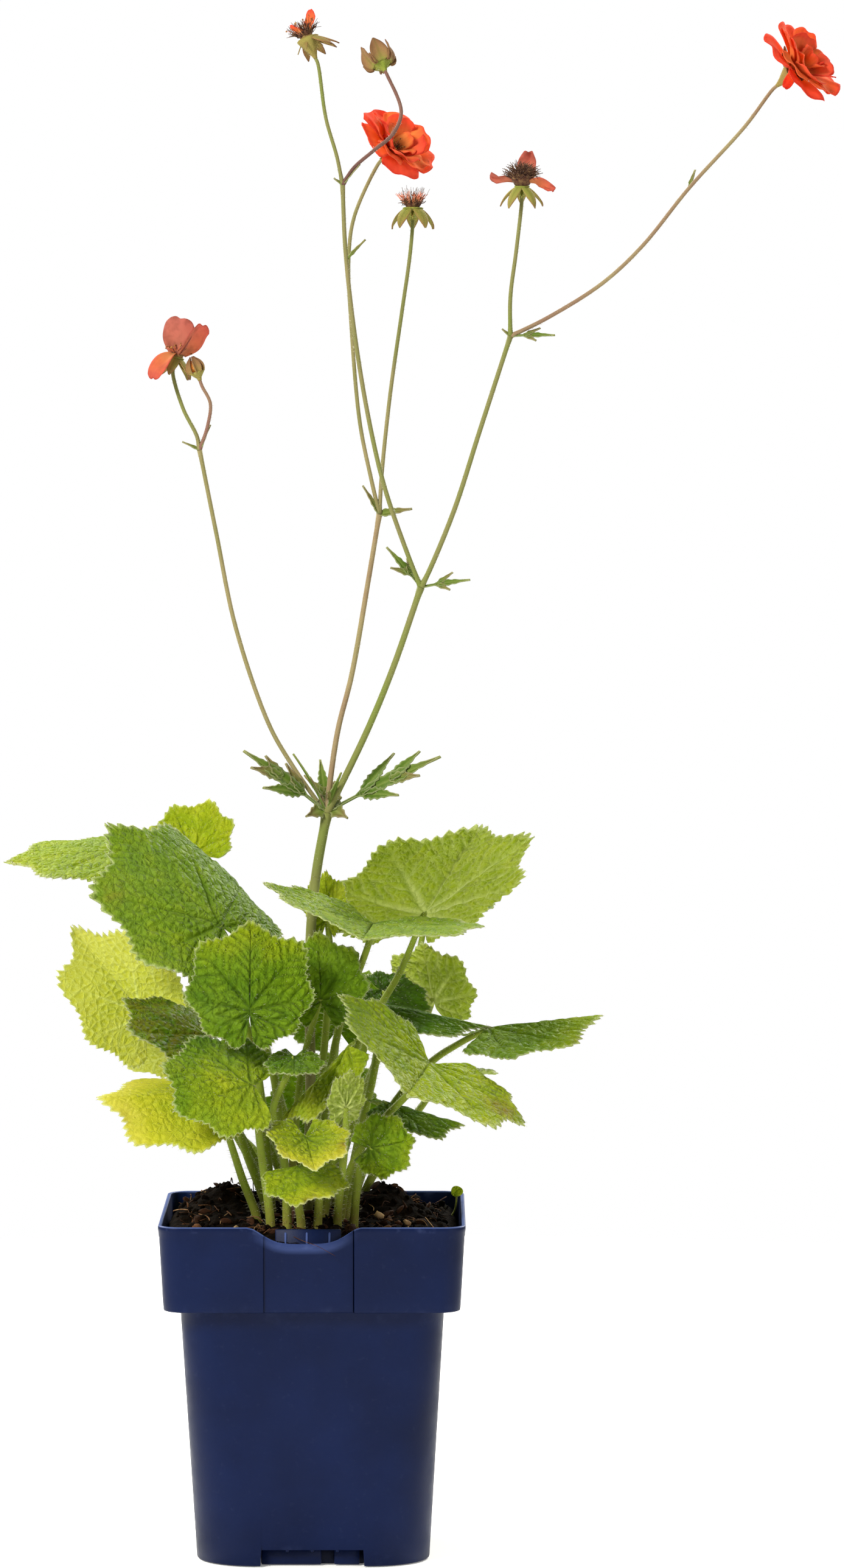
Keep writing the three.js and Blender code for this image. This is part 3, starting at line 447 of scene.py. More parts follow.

# %% [markdown]
# ### The downy leaf
#
# An avens leaf goes from deep green through yellow-green to clear yellow as it ages, browns in
# patches, and is paler below, where its veins stand out. The upper side is quilted between sunken
# veins, which carry painted shade, and has a silvery down, whose grey is partly its own and partly
# a painted sheen. One finish does for every leaf: the marks `age`, `brown`, `vein`, `rim` and
# `under`, and one for the down's grey and sheen, say where on each leaf it is green, dry, ribbed,
# pale or grey.

# %% Leaf finish
tree, shader = new_finish("leaf_blade", Roughness=0.5, Specular_IOR_Level=0.1,
                          Sheen_Weight=0.04, Sheen_Roughness=0.4)
fresh = times(tree, rest_of(tree, mark(tree, "age")), 2.5)
mottle = strong_clouds(tree, 7, 5, 0.4, -0.2)
mottle = sums(tree, "MULTIPLY_ADD", mottle, sums(tree, "MAXIMUM", fresh, 0.35), 0.0)
age = sums(tree, "ADD", mark(tree, "age"), mottle)
color = ramp(tree, age, [(0.0, "264800"), (0.2, "4a7600"), (0.4, "78980a"), (0.6, "a2b210"),
                         (0.8, "c8c42a"), (1.0, "e6d660")])
cells = crackle(tree, 2.9)
small_cells = crackle(tree, 0.9)
net = rest_of(tree, times(tree, cells, 5.5))
fine_net = rest_of(tree, times(tree, small_cells, 7.0))
veins = sums(tree, "MAXIMUM", mark(tree, "vein"), times(tree, net, 0.4))
veins = sums(tree, "MAXIMUM", veins, times(tree, fine_net, 0.25))
top_side = rest_of(tree, mark(tree, "under"))
green = rest_of(tree, times(tree, age, 0.75))
# painted shade: on the upper side the sunken veins and the fine net between the quilting are darkened,
# less on yellow leaves
painted_shade = times(tree, times(tree, veins, top_side), green)
color = over(tree, times(tree, painted_shade, 0.9), color, "5c7c22", "MULTIPLY")
color = over(tree, times(tree, mark(tree, "under"), 0.35), color, "a8b420")
light = times(tree, veins, mark(tree, "under"))
color = over(tree, times(tree, light, 0.8), color, "dfe690")
patch = strong_clouds(tree, 3.2, 5, 2.4, -1.2)
brown = times(tree, sums(tree, "ADD", patch, mark(tree, "brown")), mark(tree, "brown"))
color = over(tree, brown, color, "80591f")
speck = strong_clouds(tree, 2.1, 1, 14.0, -10.6)
color = over(tree, times(tree, speck, 0.6), color, "4a4410")
# the grey of the down: partly its own colour, partly a painted sheen
down_and_sheen_grey = times(tree, mark(tree, "silver"), clouds(tree, 1.1, 4))
color = over(tree, down_and_sheen_grey, color, "9dac76")
color = over(tree, times(tree, mark(tree, "rim"), 0.6), color, "d6dba6")
paint(tree, shader, color)
puffs = times(tree, cells, 2.6)
height = sums(tree, "MULTIPLY_ADD", times(tree, small_cells, 2.0), 0.3, puffs)
turned = rest_of(tree, height)
height = add_node(tree, "Mix", {0: mark(tree, "under"), 2: height, 3: turned}).outputs[0]
relief(tree, shader, sums(tree, "MULTIPLY_ADD", height, fresh, 0.0), 0.9)
lets_light_through(tree, shader, over(tree, 0.5, color, "b4cc04"), 0.38)
print("leaf finish:", len(tree.nodes), "nodes")

# %% Finishes of petioles, stalks and hairs
tree, shader = new_finish("petiole", Roughness=0.6, Specular_IOR_Level=0.15, Sheen_Weight=0.06)
color = toned(tree, "red", 2.5, 4, 0.5,
              [(0.0, "748624"), (0.35, "6f7028"), (0.7, "664230"), (1.0, "4a2422")])
paint(tree, shader, color)
relief(tree, shader, clouds(tree, 0.8, 4), 0.15)

tree, shader = new_finish("stalk", Roughness=0.6, Specular_IOR_Level=0.15, Sheen_Weight=0.06)
color = toned(tree, "red", 9.0, 3, 0.3, [(0.0, "6a7434"), (0.22, "767246"), (0.45, "8c7e5a"),
                                         (0.7, "7a584c"), (1.0, "4a302e")])
paint(tree, shader, color)
relief(tree, shader, clouds(tree, 1.2, 3), 0.06)

tree, shader = new_finish("stalk_leaf", Roughness=0.6, Specular_IOR_Level=0.08)
color = toned(tree, "brown", 6, 3, 0.3,
              [(0.0, "48661a"), (0.35, "627a2c"), (0.7, "7c6a44"), (1.0, "74564c")])
color = over(tree, times(tree, mark(tree, "vein"), 0.4), color, "98a45c")
color = over(tree, times(tree, mark(tree, "rim"), 0.35), color, "b4b48a")
paint(tree, shader, color)
relief(tree, shader, clouds(tree, 1.5, 3), 0.1)
lets_light_through(tree, shader, color, 0.25)

tree, shader = new_finish("down", Roughness=0.5)
color = ramp(tree, clouds(tree, 4, 2), [(0.3, "cfcdb0"), (0.7, "f1efdf")])
paint(tree, shader, color)
lets_light_through(tree, shader, color, 0.4)
print("finishes so far:", ", ".join(m.name for m in bpy.data.materials if m.use_nodes))

# %% [markdown]
# ## The shape of an avens leaf
#
# Each leaf is a near disc, notched where its petiole comes in, with nine main veins that fan out
# from there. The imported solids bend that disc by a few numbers: where its base is, where it heads,
# and how it folds and arches. The same formula with the same numbers, on a much finer grid, gives
# the real blade. On top go the things a solid can't hold: pointed teeth, sunken veins with fine
# side veins, quilting between them, and an edge that waves.

# %% Leaf surface
SINUS = 150
PETIOLE = {"foot": 1.95, "tip": 1.05}
SOIL_LEVEL = 124
FOOT_DEPTH = 12
VEIN_STEP = math.radians(38)
BLADE_THICK = 0.4


def heading_of(leaf):
    aim, rise, roll = (math.radians(leaf.get(key, 0)) for key in ("aim", "rise", "roll"))
    ahead = np.array([math.cos(aim) * math.cos(rise), math.sin(aim) * math.cos(rise),
                      math.sin(rise)])
    level = np.array([-math.sin(aim), math.cos(aim), 0])
    over_it = np.cross(ahead, level)
    return (ahead, level * math.cos(roll) + over_it * math.sin(roll),
            over_it * math.cos(roll) - level * math.sin(roll))


def reach(turn, lead):
    disc = (lead * np.cos(turn) + np.sqrt(1 - (lead * np.sin(turn)) ** 2)) / (1 + lead)
    return disc * (0.975 + 0.025 * np.cos(turn / VEIN_STEP * 2 * math.pi))


def bent(leaf, a, b, left_side):
    """Take flat places, a ahead and b to the left in millimetres, to the folded, bowed blade."""
    ahead, left, up = heading_of(leaf)
    size = leaf["len"]
    soft = 0.04 * size
    side = np.sqrt(b * b + soft * soft) - soft
    slopes, bends = [], []
    for letter in "lr":
        fold = leaf.get("fold" + letter, leaf.get("fold", 0))
        near, far = fold if isinstance(fold, list) else (fold, fold)
        share = np.clip(a / (0.8 * size), 0, 1)
        slopes.append(np.radians(near + (far - near) * share))
        arch = math.radians(leaf.get("arch" + letter, leaf.get("arch", 0))) / size
        bends.append(math.copysign(max(abs(arch), 1e-6), arch or 1))
    slope = np.where(left_side, *slopes)
    bend = np.where(left_side, *bends)
    out = (np.sin(slope + bend * side) - np.sin(slope)) / bend * np.where(left_side, 1, -1)
    lift = (np.cos(slope + bend * side) - np.cos(slope)) / bend
    curl = max(math.radians(leaf.get("bow", 0)) / size, 1e-7)
    along = curl * a
    return (np.array(leaf["at"], float)
            + ahead * (np.sin(along) / curl + lift * np.sin(along))[..., None]
            + left * out[..., None]
            + up * ((np.cos(along) - 1) / curl + lift * np.cos(along))[..., None])


def petiole_line(leaf):
    ahead, _, up = heading_of(leaf)
    joint = np.array(leaf["at"]) - up * 0.3 + ahead * 0.6
    ground = np.array([*leaf["foot"], SOIL_LEVEL], float)
    return np.array([ground - [0, 0, FOOT_DEPTH], ground, *leaf["via"][::-1], joint], float)


print("a leaf reaches", round(float(reach(math.radians(90), 0.35)), 2), "of its length sideways")

# %% [markdown]
# ### Veins, quilting and teeth
#
# The veins are worked out as distances. Each place on the blade finds its nearest main vein; how
# far along that vein it lies, less a little for each step away from it, counts off the side veins
# as slanting pairs, like the barbs of a feather. The teeth are a saw-tooth of the turn round the
# leaf, which only acts close to the rim.

# %% Leaf blade and its hairs
FRINGE_PER_PLACE = 1.8
HAIRS_ON_TOP = 180
BLADE_HAIR = 0.045


def blade_grid(leaf, look, seed):
    """Turns round the base, shares of the way out, and how far that is, with teeth on the rim."""
    size, open_turn = leaf["len"], math.radians(leaf.get("open", SINUS))
    rows = look.get("rows", 24 if size > 33 else 18 if size > 21 else 14)
    tooth_step = VEIN_STEP / (8 if size > 40 else 7 if size > 30 else 5 if size > 16 else 4)
    columns = int(round(2 * open_turn / tooth_step)) * 4 + 1
    share = 1 - (1 - np.linspace(0.0, 1, rows)[:, None]) ** 1.25
    share = 0.012 + 0.988 * share
    turn = np.linspace(-open_turn, open_turn, columns)[None]
    wander = flat_uneven(turn * 1.7, turn * 0, seed, 0.5, 3)
    jitter = flat_uneven(turn / tooth_step, turn * 0, seed * 5, 1.6, 11)
    place = (turn / tooth_step + 0.3 * jitter) % 1
    tooth = 1 - (1 - np.abs(2 * place - 1)) * (0.8 + 0.2 * jitter)
    depth = (0.068 if size > 21 else 0.085) + 0.02 * wander
    corner = np.clip((np.abs(turn) - open_turn + 0.2) / 0.2, 0, 1) ** 2 * 0.1
    near_rim = np.clip((share - 0.8) / 0.2, 0, 1)
    radius = share * reach(turn, leaf.get("lead", 0.35)) * size
    lobe = 0.036 * (np.cos(turn / VEIN_STEP * 2 * math.pi) - 0.4) * near_rim
    radius = radius * (1 + lobe - depth * tooth * near_rim) * (1 - corner * share)
    return turn, share, radius * (1 + 0.03 * wander * share)


def blade_veins(turn, share, radius, wobble, size, ribs):
    """How near each place is to a main vein and to a side vein, from 0 to 1."""
    lean = turn - np.round(turn / VEIN_STEP) * VEIN_STEP
    along, off = radius * np.cos(lean), radius * np.sin(lean)
    rib = (0.42 + 0.5 * (1 - share)) * ribs
    main = np.exp(-(off / rib) ** 2) * np.clip(1.25 - share, 0, 1)
    step = 3.2 + size * 0.03
    count = (along - np.abs(off) + wobble * 2.2) / step
    barb = np.exp(-((count - np.round(count)) * step / 0.7) ** 2)
    return main, barb * np.clip((share - 0.12) * 6, 0, 1) * (1 - main)


def blade_colours(look, a, b, size):
    """How yellow and how brown each place is, from the leaf's own ages and dry patches."""
    left, centre, right, tip = look["ages"]
    sway, ahead = b / size, np.clip(a / size - 0.35, 0, 1) / 0.65
    age = centre + np.clip(sway, 0, 1) * (left - centre) + np.clip(-sway, 0, 1) * (right - centre)
    age = age + ahead * (tip - centre)
    brown = np.full(a.shape, look.get("olive", 0.0))
    for heading, distance, width, amount in look.get("patches", []):
        spot = size * distance
        far = np.hypot(a - spot * math.cos(math.radians(heading)),
                       b - spot * math.sin(math.radians(heading)))
        brown = brown + amount * np.exp(-(far / (width * size)) ** 2)
    return age, brown


def leaf_blade(leaf, look, seed):
    """The blade of one leaf, and the grid of places that its hairs stand on."""
    size = leaf["len"]
    turn, share, radius = blade_grid(leaf, look, seed)
    a, b = radius * np.cos(turn), radius * np.sin(turn) * leaf.get("wide", 1)
    wobble = flat_uneven(a, b, seed * 7, 7, 4)
    main, barb = blade_veins(turn, share, radius, wobble, size, look.get("ribs", 1))
    vein = np.maximum(main, barb * 0.75)
    wave = flat_uneven(a, b, seed * 13, size * 0.32, 5)
    quilt = flat_uneven(a, b, seed * 17, 3.0, 6)
    lift = -0.8 * main - 0.45 * barb + 0.3 * (1 - vein) + 0.3 * quilt
    lift = lift * look.get("crinkle", 1) * np.clip(share * 4, 0, 1)
    lift = lift + wave * share ** 2 * size * 0.024 * look.get("wavy", 1)
    lift = lift * np.clip((1.02 - share) * 8 + 0.35, 0, 1)
    middle = bent(leaf, a, b, turn > 0)
    age, brown = blade_colours(look, a, b, size)
    # the down's grey with its painted sheen, less on the veins
    silver = look.get("silver", 0.12) * (0.6 + 0.4 * wave) * (1 - 0.4 * vein)
    rim = np.clip((share - 0.955) / 0.045, 0, 1) + 0 * turn
    blade = thin_sheet(middle, BLADE_THICK, "leaf_blade", lift, age=age, brown=brown, vein=vein,
                       rim=rim, silver=silver)
    return blade, middle


def blade_hairs(middle, seed):
    """Hairs that fringe the margin, and a few that lie along the blade."""
    chance = np.random.default_rng(seed)
    edge = middle[-1]
    outward = unit(middle[-1] - middle[-3])
    pick = chance.integers(0, len(edge), int(len(edge) * FRINGE_PER_PLACE))
    fringe = hairs(edge[pick], outward[pick] + chance.normal(0, 0.4, (len(pick), 3)),
                   chance.uniform(0.4, 1.1, len(pick)), BLADE_HAIR)
    normal = normals_of(middle)
    r = chance.integers(3, middle.shape[0] - 1, HAIRS_ON_TOP)
    c = chance.integers(1, middle.shape[1] - 1, HAIRS_ON_TOP)
    ways = normal[r, c] * 0.7 + outward[c] * 0.8 + chance.normal(0, 0.3, (HAIRS_ON_TOP, 3))
    top = hairs(middle[r, c] + normal[r, c] * 0.2, ways, chance.uniform(0.5, 1.1, HAIRS_ON_TOP),
                BLADE_HAIR)
    return [fringe, top]


print("hairs on top of each leaf:", HAIRS_ON_TOP)

# %% [markdown]
# ### Thirty-two leaves
#
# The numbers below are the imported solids' own: base, heading, folds and the line of each petiole.
# A second table says what the leaves in front look like, and those behind share one plain look.
# There, `ages` gives four greens (left half, middle, right half and tip), from 0, deep green, to 1,
# yellow, and `patches` are dry spots by direction, distance, width and strength.

# %% Where each leaf is
LEAVES = {
    # the front, from left to right and from the top down
    "big_upper_left": dict(at=[-33, -20, 229], aim=166, rise=40, roll=-36, len=56, wide=0.92,
        archl=20, archr=95, foldr=[-4, -10], foot=[-15, -16],
        via=[[-29, -11, 208], [-21, -3, 178]]),
    "round_front": dict(at=[-22, -50, 201], aim=90, rise=66, len=37, lead=0.42, arch=20, bow=10,
        open=168, foot=[-8, -31], via=[[-19, -35, 192], [-14, -26, 175], [-11, -28, 150]]),
    "low_front_left": dict(at=[-21, -54, 175], aim=180, rise=12, roll=-12, len=34, foldl=28,
        archl=50, foldr=-25, open=125, foot=[-15, -38], via=[[-20, -48, 166], [-18, -42, 148]]),
    "yellow_low": dict(at=[-35, -38, 171], aim=183, rise=-3, roll=-40, len=42, foldr=30, arch=10,
        open=115, foot=[-20, -30], via=[[-30, -34, 154], [-25, -31, 138]]),
    "yellow_left": dict(at=[-62, 11, 193], aim=206, rise=50, roll=60, len=45, wide=0.72, foldl=15,
        foldr=25, open=130, foot=[-16, -9], via=[[-50, 6, 177], [-28, 4, 150]]),
    "yellow_left_low": dict(at=[-50, 22, 179], aim=180, rise=2, roll=50, len=25, wide=0.8,
        open=110, foot=[-14, 5], via=[[-39, 18, 168], [-26, 12, 148]]),
    "olive_left": dict(at=[-37, -18, 189], aim=170, rise=22, roll=-20, len=36, wide=0.85,
        fold=10, open=110, foot=[-16, -23], via=[[-33, -9, 174], [-25, -13, 148]]),
    "far_left": dict(at=[-71, 30, 253], aim=185, rise=-5, roll=-12, len=43, arch=15, open=120,
        foot=[-8, 6], via=[[-61, 27, 243], [-40, 30, 200], [-22, 19, 157]]),
    "top_back": dict(at=[-45, 44, 250], aim=120, rise=46, roll=-22, len=24, wide=1.15, foldl=10,
        foldr=-22, open=130, foot=[-7, 13], via=[[-42, 43, 232], [-34, 33, 192], [-19, 24, 157]]),
    "right_of_round": dict(at=[3, -28, 203], aim=96, rise=70, len=26, wide=1, foot=[-8, -24],
        via=[[-3, -20, 182], [-6, -19, 160]]),
    "young": dict(at=[5, -9, 231], aim=95, rise=75, len=18, wide=0.7, foot=[-6, -9],
        via=[[6, -8, 219], [2, -6, 166]]),
    "bridge": dict(at=[22, -32, 231], aim=-95, rise=-3, len=42, wide=1.4, foldr=-22, foldl=0,
        foot=[4, -9], via=[[20, -20, 222], [9, -16, 190], [4, -12, 155]]),
    "big_right_back": dict(at=[40, 24, 230], aim=-55, rise=45, len=49, wide=1.25, fold=-8,
        foot=[8, 5], via=[[31, 20, 208], [23, 18.5, 194], [13, 8, 163]]),
    "right_mid_back": dict(at=[44, 50, 195], aim=-113, rise=64, len=26, foot=[12, 13],
        via=[[39, 53, 201], [30, 50, 202], [21, 28, 168]]),
    "dark_mid": dict(at=[25, 32, 201], aim=-5, rise=-22, roll=35, len=20, wide=0.9, foot=[2, 6],
        via=[[19, 27, 187], [9, 15, 154]]),
    "right_long": dict(at=[63, 2, 190], aim=0, rise=6, len=43, foldr=18, foldl=10, open=115,
        foot=[14, 0], via=[[53, 5, 184], [42, 10, 176], [26, 13, 156]]),
    "right_long_left": dict(at=[21, 0, 199], aim=0, rise=-11, len=44, wide=0.55, foldr=28,
        foldl=5, open=110, foot=[4, -2], via=[[16, 0, 184], [9, 0, 156]]),
    "saddle": dict(at=[42, -36, 181], aim=-104, rise=-14, roll=-34, len=35, wide=1.65, foldl=-12,
        foldr=-16, arch=12, foot=[10, -22], via=[[36, -30, 171], [22, -28, 156], [14, -25, 142]]),
    "diagonal": dict(at=[13, -36, 187], aim=180, rise=-48, roll=-10, len=39, wide=0.6,
        foldl=32, foldr=15, open=100, foot=[4, -22], via=[[16, -31, 181], [11, -25, 158]]),
    "small_centre": dict(at=[-6, -50, 185], aim=-90, rise=-28, len=13, wide=1.25, fold=10,
        foot=[-9, -37], via=[[-9, -46, 177], [-14, -40, 164], [-10, -38, 146]]),
    "pale_small": dict(at=[12, -50, 166], aim=-70, rise=70, len=16, wide=0.7, foot=[9, -33],
        via=[[12, -46, 155]]),
    "low_mid_yellow": dict(at=[-2, -58, 157], aim=-80, rise=-25, len=24, wide=0.95, fold=-15,
        foot=[2, -36], via=[[3, -42, 149]]),
    "front_rim_hang": dict(at=[-5, -54, 146], aim=-50, rise=-25, len=22, wide=1.1, foldr=30,
        open=120, foot=[-4, -39], via=[[-6, -46, 138]]),
    "low_right_hang": dict(at=[21, -40, 151], aim=0, rise=10, roll=65, len=17, wide=1.1,
        foot=[15, -30], via=[[18, -35, 146]]),
    "low_right_fold": dict(at=[26, -6, 164], aim=0, rise=-17, len=31, wide=0.75, foldr=32,
        foldl=15, open=110, foot=[12, -12], via=[[20, -9, 154]]),
    # the back, where the same plant goes on
    "back_left": dict(at=[-56, 50, 213], aim=150, rise=10, len=28, foot=[-6, 20],
        via=[[-49, 44, 197], [-23, 38, 157]]),
    "back_mid_left": dict(at=[-20, 46, 196], aim=100, rise=55, len=30, wide=0.9, open=120,
        foot=[-2, 2], via=[[-18, 38, 180], [-8, 14, 147]]),
    "back_low_left": dict(at=[-46, 44, 158], aim=120, rise=-5, len=30, foot=[-14, 14],
        via=[[-35, 34, 152], [-20, 22, 140]]),
    "back_middle": dict(at=[8, 56, 186], aim=90, rise=58, len=28, wide=1.1, arch=14,
        foot=[0, 11], via=[[7, 48, 174], [2, 26, 146]]),
    "back_low_middle": dict(at=[2, 44, 152], aim=85, rise=58, len=28, wide=1.2, arch=12,
        foot=[-1, 20], via=[[1, 38, 145], [-1, 28, 134]]),
    "back_right": dict(at=[41, 68, 227], aim=70, rise=20, len=36, foot=[6, 14],
        via=[[37, 64, 207], [28, 56, 185], [16, 33, 158]]),
    "back_low_right": dict(at=[48, 52, 170], aim=70, rise=-10, len=26, foot=[17, 9],
        via=[[40, 42, 158], [25, 22, 140]]),
}
print("leaves:", len(LEAVES))

# %% What the leaves in front look like
LOOKS = {
    "big_upper_left": dict(ages=(0.47, 0.4, 0.32, 0.4), silver=0.3, wavy=1.3, rows=30,
        patches=[(35, 0.75, 0.12, 0.5)]),
    "round_front": dict(ages=(0.36, 0.32, 0.4, 0.6), crinkle=1.5, silver=0.16, wavy=1.3, rows=32),
    "low_front_left": dict(ages=(0.44, 0.6, 0.14, 0.42), silver=0.2),
    "yellow_low": dict(ages=(0.8, 0.66, 0.86, 0.94), patches=[(20, 0.9, 0.16, 0.6)], crinkle=0.3),
    "yellow_left": dict(ages=(0.84, 0.8, 0.88, 0.92), silver=0.3, olive=0.04, wavy=1.4,
        crinkle=0.25, patches=[(60, 0.6, 0.2, 0.4), (-50, 0.7, 0.15, 0.3)]),
    "yellow_left_low": dict(ages=(0.84, 0.78, 0.88, 0.92), silver=0.3,
        patches=[(0, 0.9, 0.25, 0.4)], crinkle=0.25),
    "olive_left": dict(ages=(0.28, 0.18, 0.3, 0.36), olive=0.5, silver=0.06),
    "far_left": dict(ages=(0.54, 0.52, 0.5, 0.64), silver=0.3, wavy=2.2,
        patches=[(10, 0.95, 0.1, 0.8)]),
    "top_back": dict(ages=(0.64, 0.58, 0.66, 0.66), silver=0.12, wavy=1.5),
    "right_of_round": dict(ages=(0.36, 0.3, 0.36, 0.5), silver=0.2),
    "young": dict(ages=(0.62, 0.6, 0.62, 0.66), silver=0.3, wavy=1.6),
    "bridge": dict(ages=(0.46, 0.42, 0.46, 0.46), silver=0.26, olive=0.12, rows=28),
    "big_right_back": dict(ages=(0.6, 0.54, 0.6, 0.56), silver=0.02, crinkle=1.5, wavy=1.4,
        ribs=2.0, rows=34),
    "right_mid_back": dict(ages=(0.56, 0.52, 0.56, 0.6), crinkle=1.2, ribs=1.4),
    "dark_mid": dict(ages=(0.12, 0.08, 0.18, 0.18)),
    "right_long": dict(ages=(0.44, 0.36, 0.4, 0.6), silver=0.24, patches=[(-30, 0.95, 0.12, 0.6)]),
    "right_long_left": dict(ages=(0.18, 0.1, 0.18, 0.4), silver=0.14),
    "saddle": dict(ages=(0.62, 0.56, 0.5, 0.6), silver=0.2, wavy=1.5,
        patches=[(75, 0.95, 0.22, 0.8)]),
    "diagonal": dict(ages=(0.58, 0.56, 0.6, 0.66), silver=0.2),
    "small_centre": dict(ages=(0.34, 0.26, 0.36, 0.4), silver=0.2),
    "pale_small": dict(ages=(0.45, 0.4, 0.45, 0.5), silver=0.4),
    "low_mid_yellow": dict(ages=(0.86, 0.5, 0.8, 0.9), crinkle=0.7, patches=[(50, 0.8, 0.2, 0.9)]),
    "front_rim_hang": dict(ages=(0.56, 0.52, 0.56, 0.74), crinkle=0.6, ribs=1.3,
        patches=[(-25, 0.95, 0.2, 0.9)]),
    "low_right_hang": dict(ages=(0.42, 0.36, 0.44, 0.5), olive=0.16),
    "low_right_fold": dict(ages=(0.3, 0.22, 0.34, 0.4), silver=0.2),
}
print("leaves with a look of their own:", len(LOOKS))

# %% Make the leaves
RED_FEET = ("round_front", "right_of_round", "back_mid_left")
PLAIN_LOOK = dict(ages=(0.35, 0.22, 0.3, 0.35))
for number, (name, leaf) in enumerate(LEAVES.items()):
    look = LOOKS.get(name, PLAIN_LOOK)
    blade, middle = leaf_blade(leaf, look, number)
    line = smooth_line(petiole_line(leaf), 7)
    girth = np.linspace(PETIOLE["foot"], PETIOLE["tip"], len(line))
    height = np.clip((line[:, 2] - SOIL_LEVEL) / (30 if name in RED_FEET else 12), 0, 1)
    red = (0.8 if name in RED_FEET else 0.35) * (1 - height) + 0.05
    stem = tube(line, girth, "petiole", sides=10, red=red)
    fuzz = stem_hairs(line, girth, 4.4, 1.5, number, share=(0.1, 1))
    make_piece(name + "_leaf", [blade, stem, fuzz, *blade_hairs(middle, number + 50)],
               ["leaf_" + name])
made = [o for o in bpy.data.objects if o.type == "MESH" and o.name.endswith("_leaf")]
print("leaves made:", len(made), "with", sum(len(o.data.polygons) for o in made), "faces")

# %% [markdown]
# ## The flower stalk
#
# One stalk rises from the crown and forks at six places. It is tan in some parts and purple-brown
# where the sun has coloured it, downy all the way, and a little swollen at each fork. The leaves on
# a flower stalk are small and cut into pointed lobes. All of it is one woody run, so it is one
# piece: a tube for each branch, a blade for each stalk leaf, and hairs.

# %% Forks and heads in the frame
FORK = {
    "low": [5, -10, 269], "left": [-41, -2, 400], "middle": [24, -8, 377], "right": [39, -20, 351],
    "top": [11, -24, 495], "far": [71, -26, 441],
}
HEAD_AT = {
    "bloom_right": {"at": [167, -20, 531], "aim": -20, "rise": 40},
    "bloom_middle": {"at": [25.5, -7, 505], "aim": -38, "rise": 40},
    "spent_top": {"at": [1, -20, 541], "aim": 165, "rise": 66},
    "bud_top": {"at": [26, -26, 536], "aim": 125, "rise": 50},
    "spent_middle": {"at": [36, 0, 484], "aim": 90, "rise": 88},
    "spent_right": {"at": [75, -28, 492], "aim": -90, "rise": 84},
    "bloom_left": {"at": [-50, 0, 431], "aim": 10, "rise": 76},
    "bud_left": {"at": [-41, -6, 426], "aim": 180, "rise": 70},
}
PLUG = 1.6
BRANCHES = [
    dict(start="low", to="left", thick=0.85, thin=0.75,
        via=[[1, -9, 274], [-8, -8, 287], [-16, -6, 301], [-28, -4, 336], [-35, -3, 370]]),
    dict(start="left", head="bloom_left", thick=0.75, via=[[-42, -1, 405], [-47, 0, 415]]),
    dict(start="left", head="bud_left", thick=0.62, via=[[-38, -4, 409], [-37, -6, 417]]),
    dict(start="low", to="middle", thick=1.05, thin=0.88,
        via=[[6, -10, 279], [9, -8, 299], [14, -7, 319], [20, -7, 353]]),
    dict(start="middle", head="bloom_middle", thick=0.75,
        via=[[21, -8, 390], [17, -9, 410], [14, -9, 444], [13, -9, 469], [15, -8, 484]]),
    dict(start="middle", head="spent_middle", thick=0.75,
        via=[[25, -6, 393], [28, -2, 421], [32, 0, 449], [35, 0, 470]]),
    dict(start="low", to="right", thick=1.25, thin=1.08,
        via=[[9, -12, 277], [20, -15, 300], [29, -18, 322]]),
    dict(start="right", to="top", thick=0.86, thin=0.75,
        via=[[35, -22, 361], [26, -24, 387], [20, -24, 413], [15, -24, 444], [12, -24, 472]]),
    dict(start="top", head="spent_top", thick=0.68, via=[[9, -24, 505], [5, -22, 519]]),
    dict(start="top", head="bud_top", thick=0.68,
        via=[[15, -26, 501], [22, -28, 507], [29, -28, 513], [32, -28, 521]]),
    dict(start="right", to="far", thick=0.95, thin=0.82,
        via=[[42, -21, 357], [51, -23, 379], [60, -25, 407]]),
    dict(start="far", head="spent_right", thick=0.75, via=[[71, -27, 455], [73, -28, 471]]),
    dict(start="far", head="bloom_right", thick=0.75,
        via=[[85, -25, 448], [104, -24, 460], [118, -23, 473], [135, -22, 494], [155, -21, 516]]),
]
BRACTS = [
    dict(at=FORK["low"], aim=195, rise=40, roll=-50, len=38, wide=15, lobes=3),
    dict(at=FORK["low"], aim=-8, rise=30, roll=45, len=46, wide=15, lobes=3),
    dict(at=FORK["low"], aim=215, rise=62, roll=-20, len=26, wide=8),
    dict(at=FORK["low"], aim=-60, rise=62, roll=20, len=18, wide=7),
    dict(at=FORK["low"], aim=100, rise=55, len=24, wide=9),
    dict(at=FORK["middle"], aim=200, rise=62, roll=-60, len=12, wide=5, lobes=1),
    dict(at=FORK["middle"], aim=-5, rise=12, roll=50, len=12, wide=7, lobes=1),
    dict(at=FORK["right"], aim=190, rise=52, roll=-60, len=19, wide=7),
    dict(at=FORK["right"], aim=-10, rise=12, roll=50, len=18, wide=6),
    dict(at=FORK["far"], aim=-8, rise=5, roll=40, len=16, wide=6),
    dict(at=FORK["far"], aim=185, rise=45, roll=-50, len=4, wide=3, lobes=1),
    dict(at=FORK["left"], aim=-15, rise=70, roll=50, len=10, wide=4, lobes=1),
    dict(at=FORK["left"], aim=190, rise=30, roll=-40, len=7, wide=3, lobes=1),
    dict(at=FORK["top"], aim=-30, rise=50, roll=50, len=10, wide=4, lobes=1),
    dict(at=FORK["top"], aim=200, rise=40, roll=-50, len=4, wide=3, lobes=1),
    dict(at=[13, -24, 469], aim=8, rise=50, roll=-50, len=9, wide=3, lobes=1),
    dict(at=[135, -22, 494], aim=60, rise=60, len=8, wide=3, lobes=1),
]
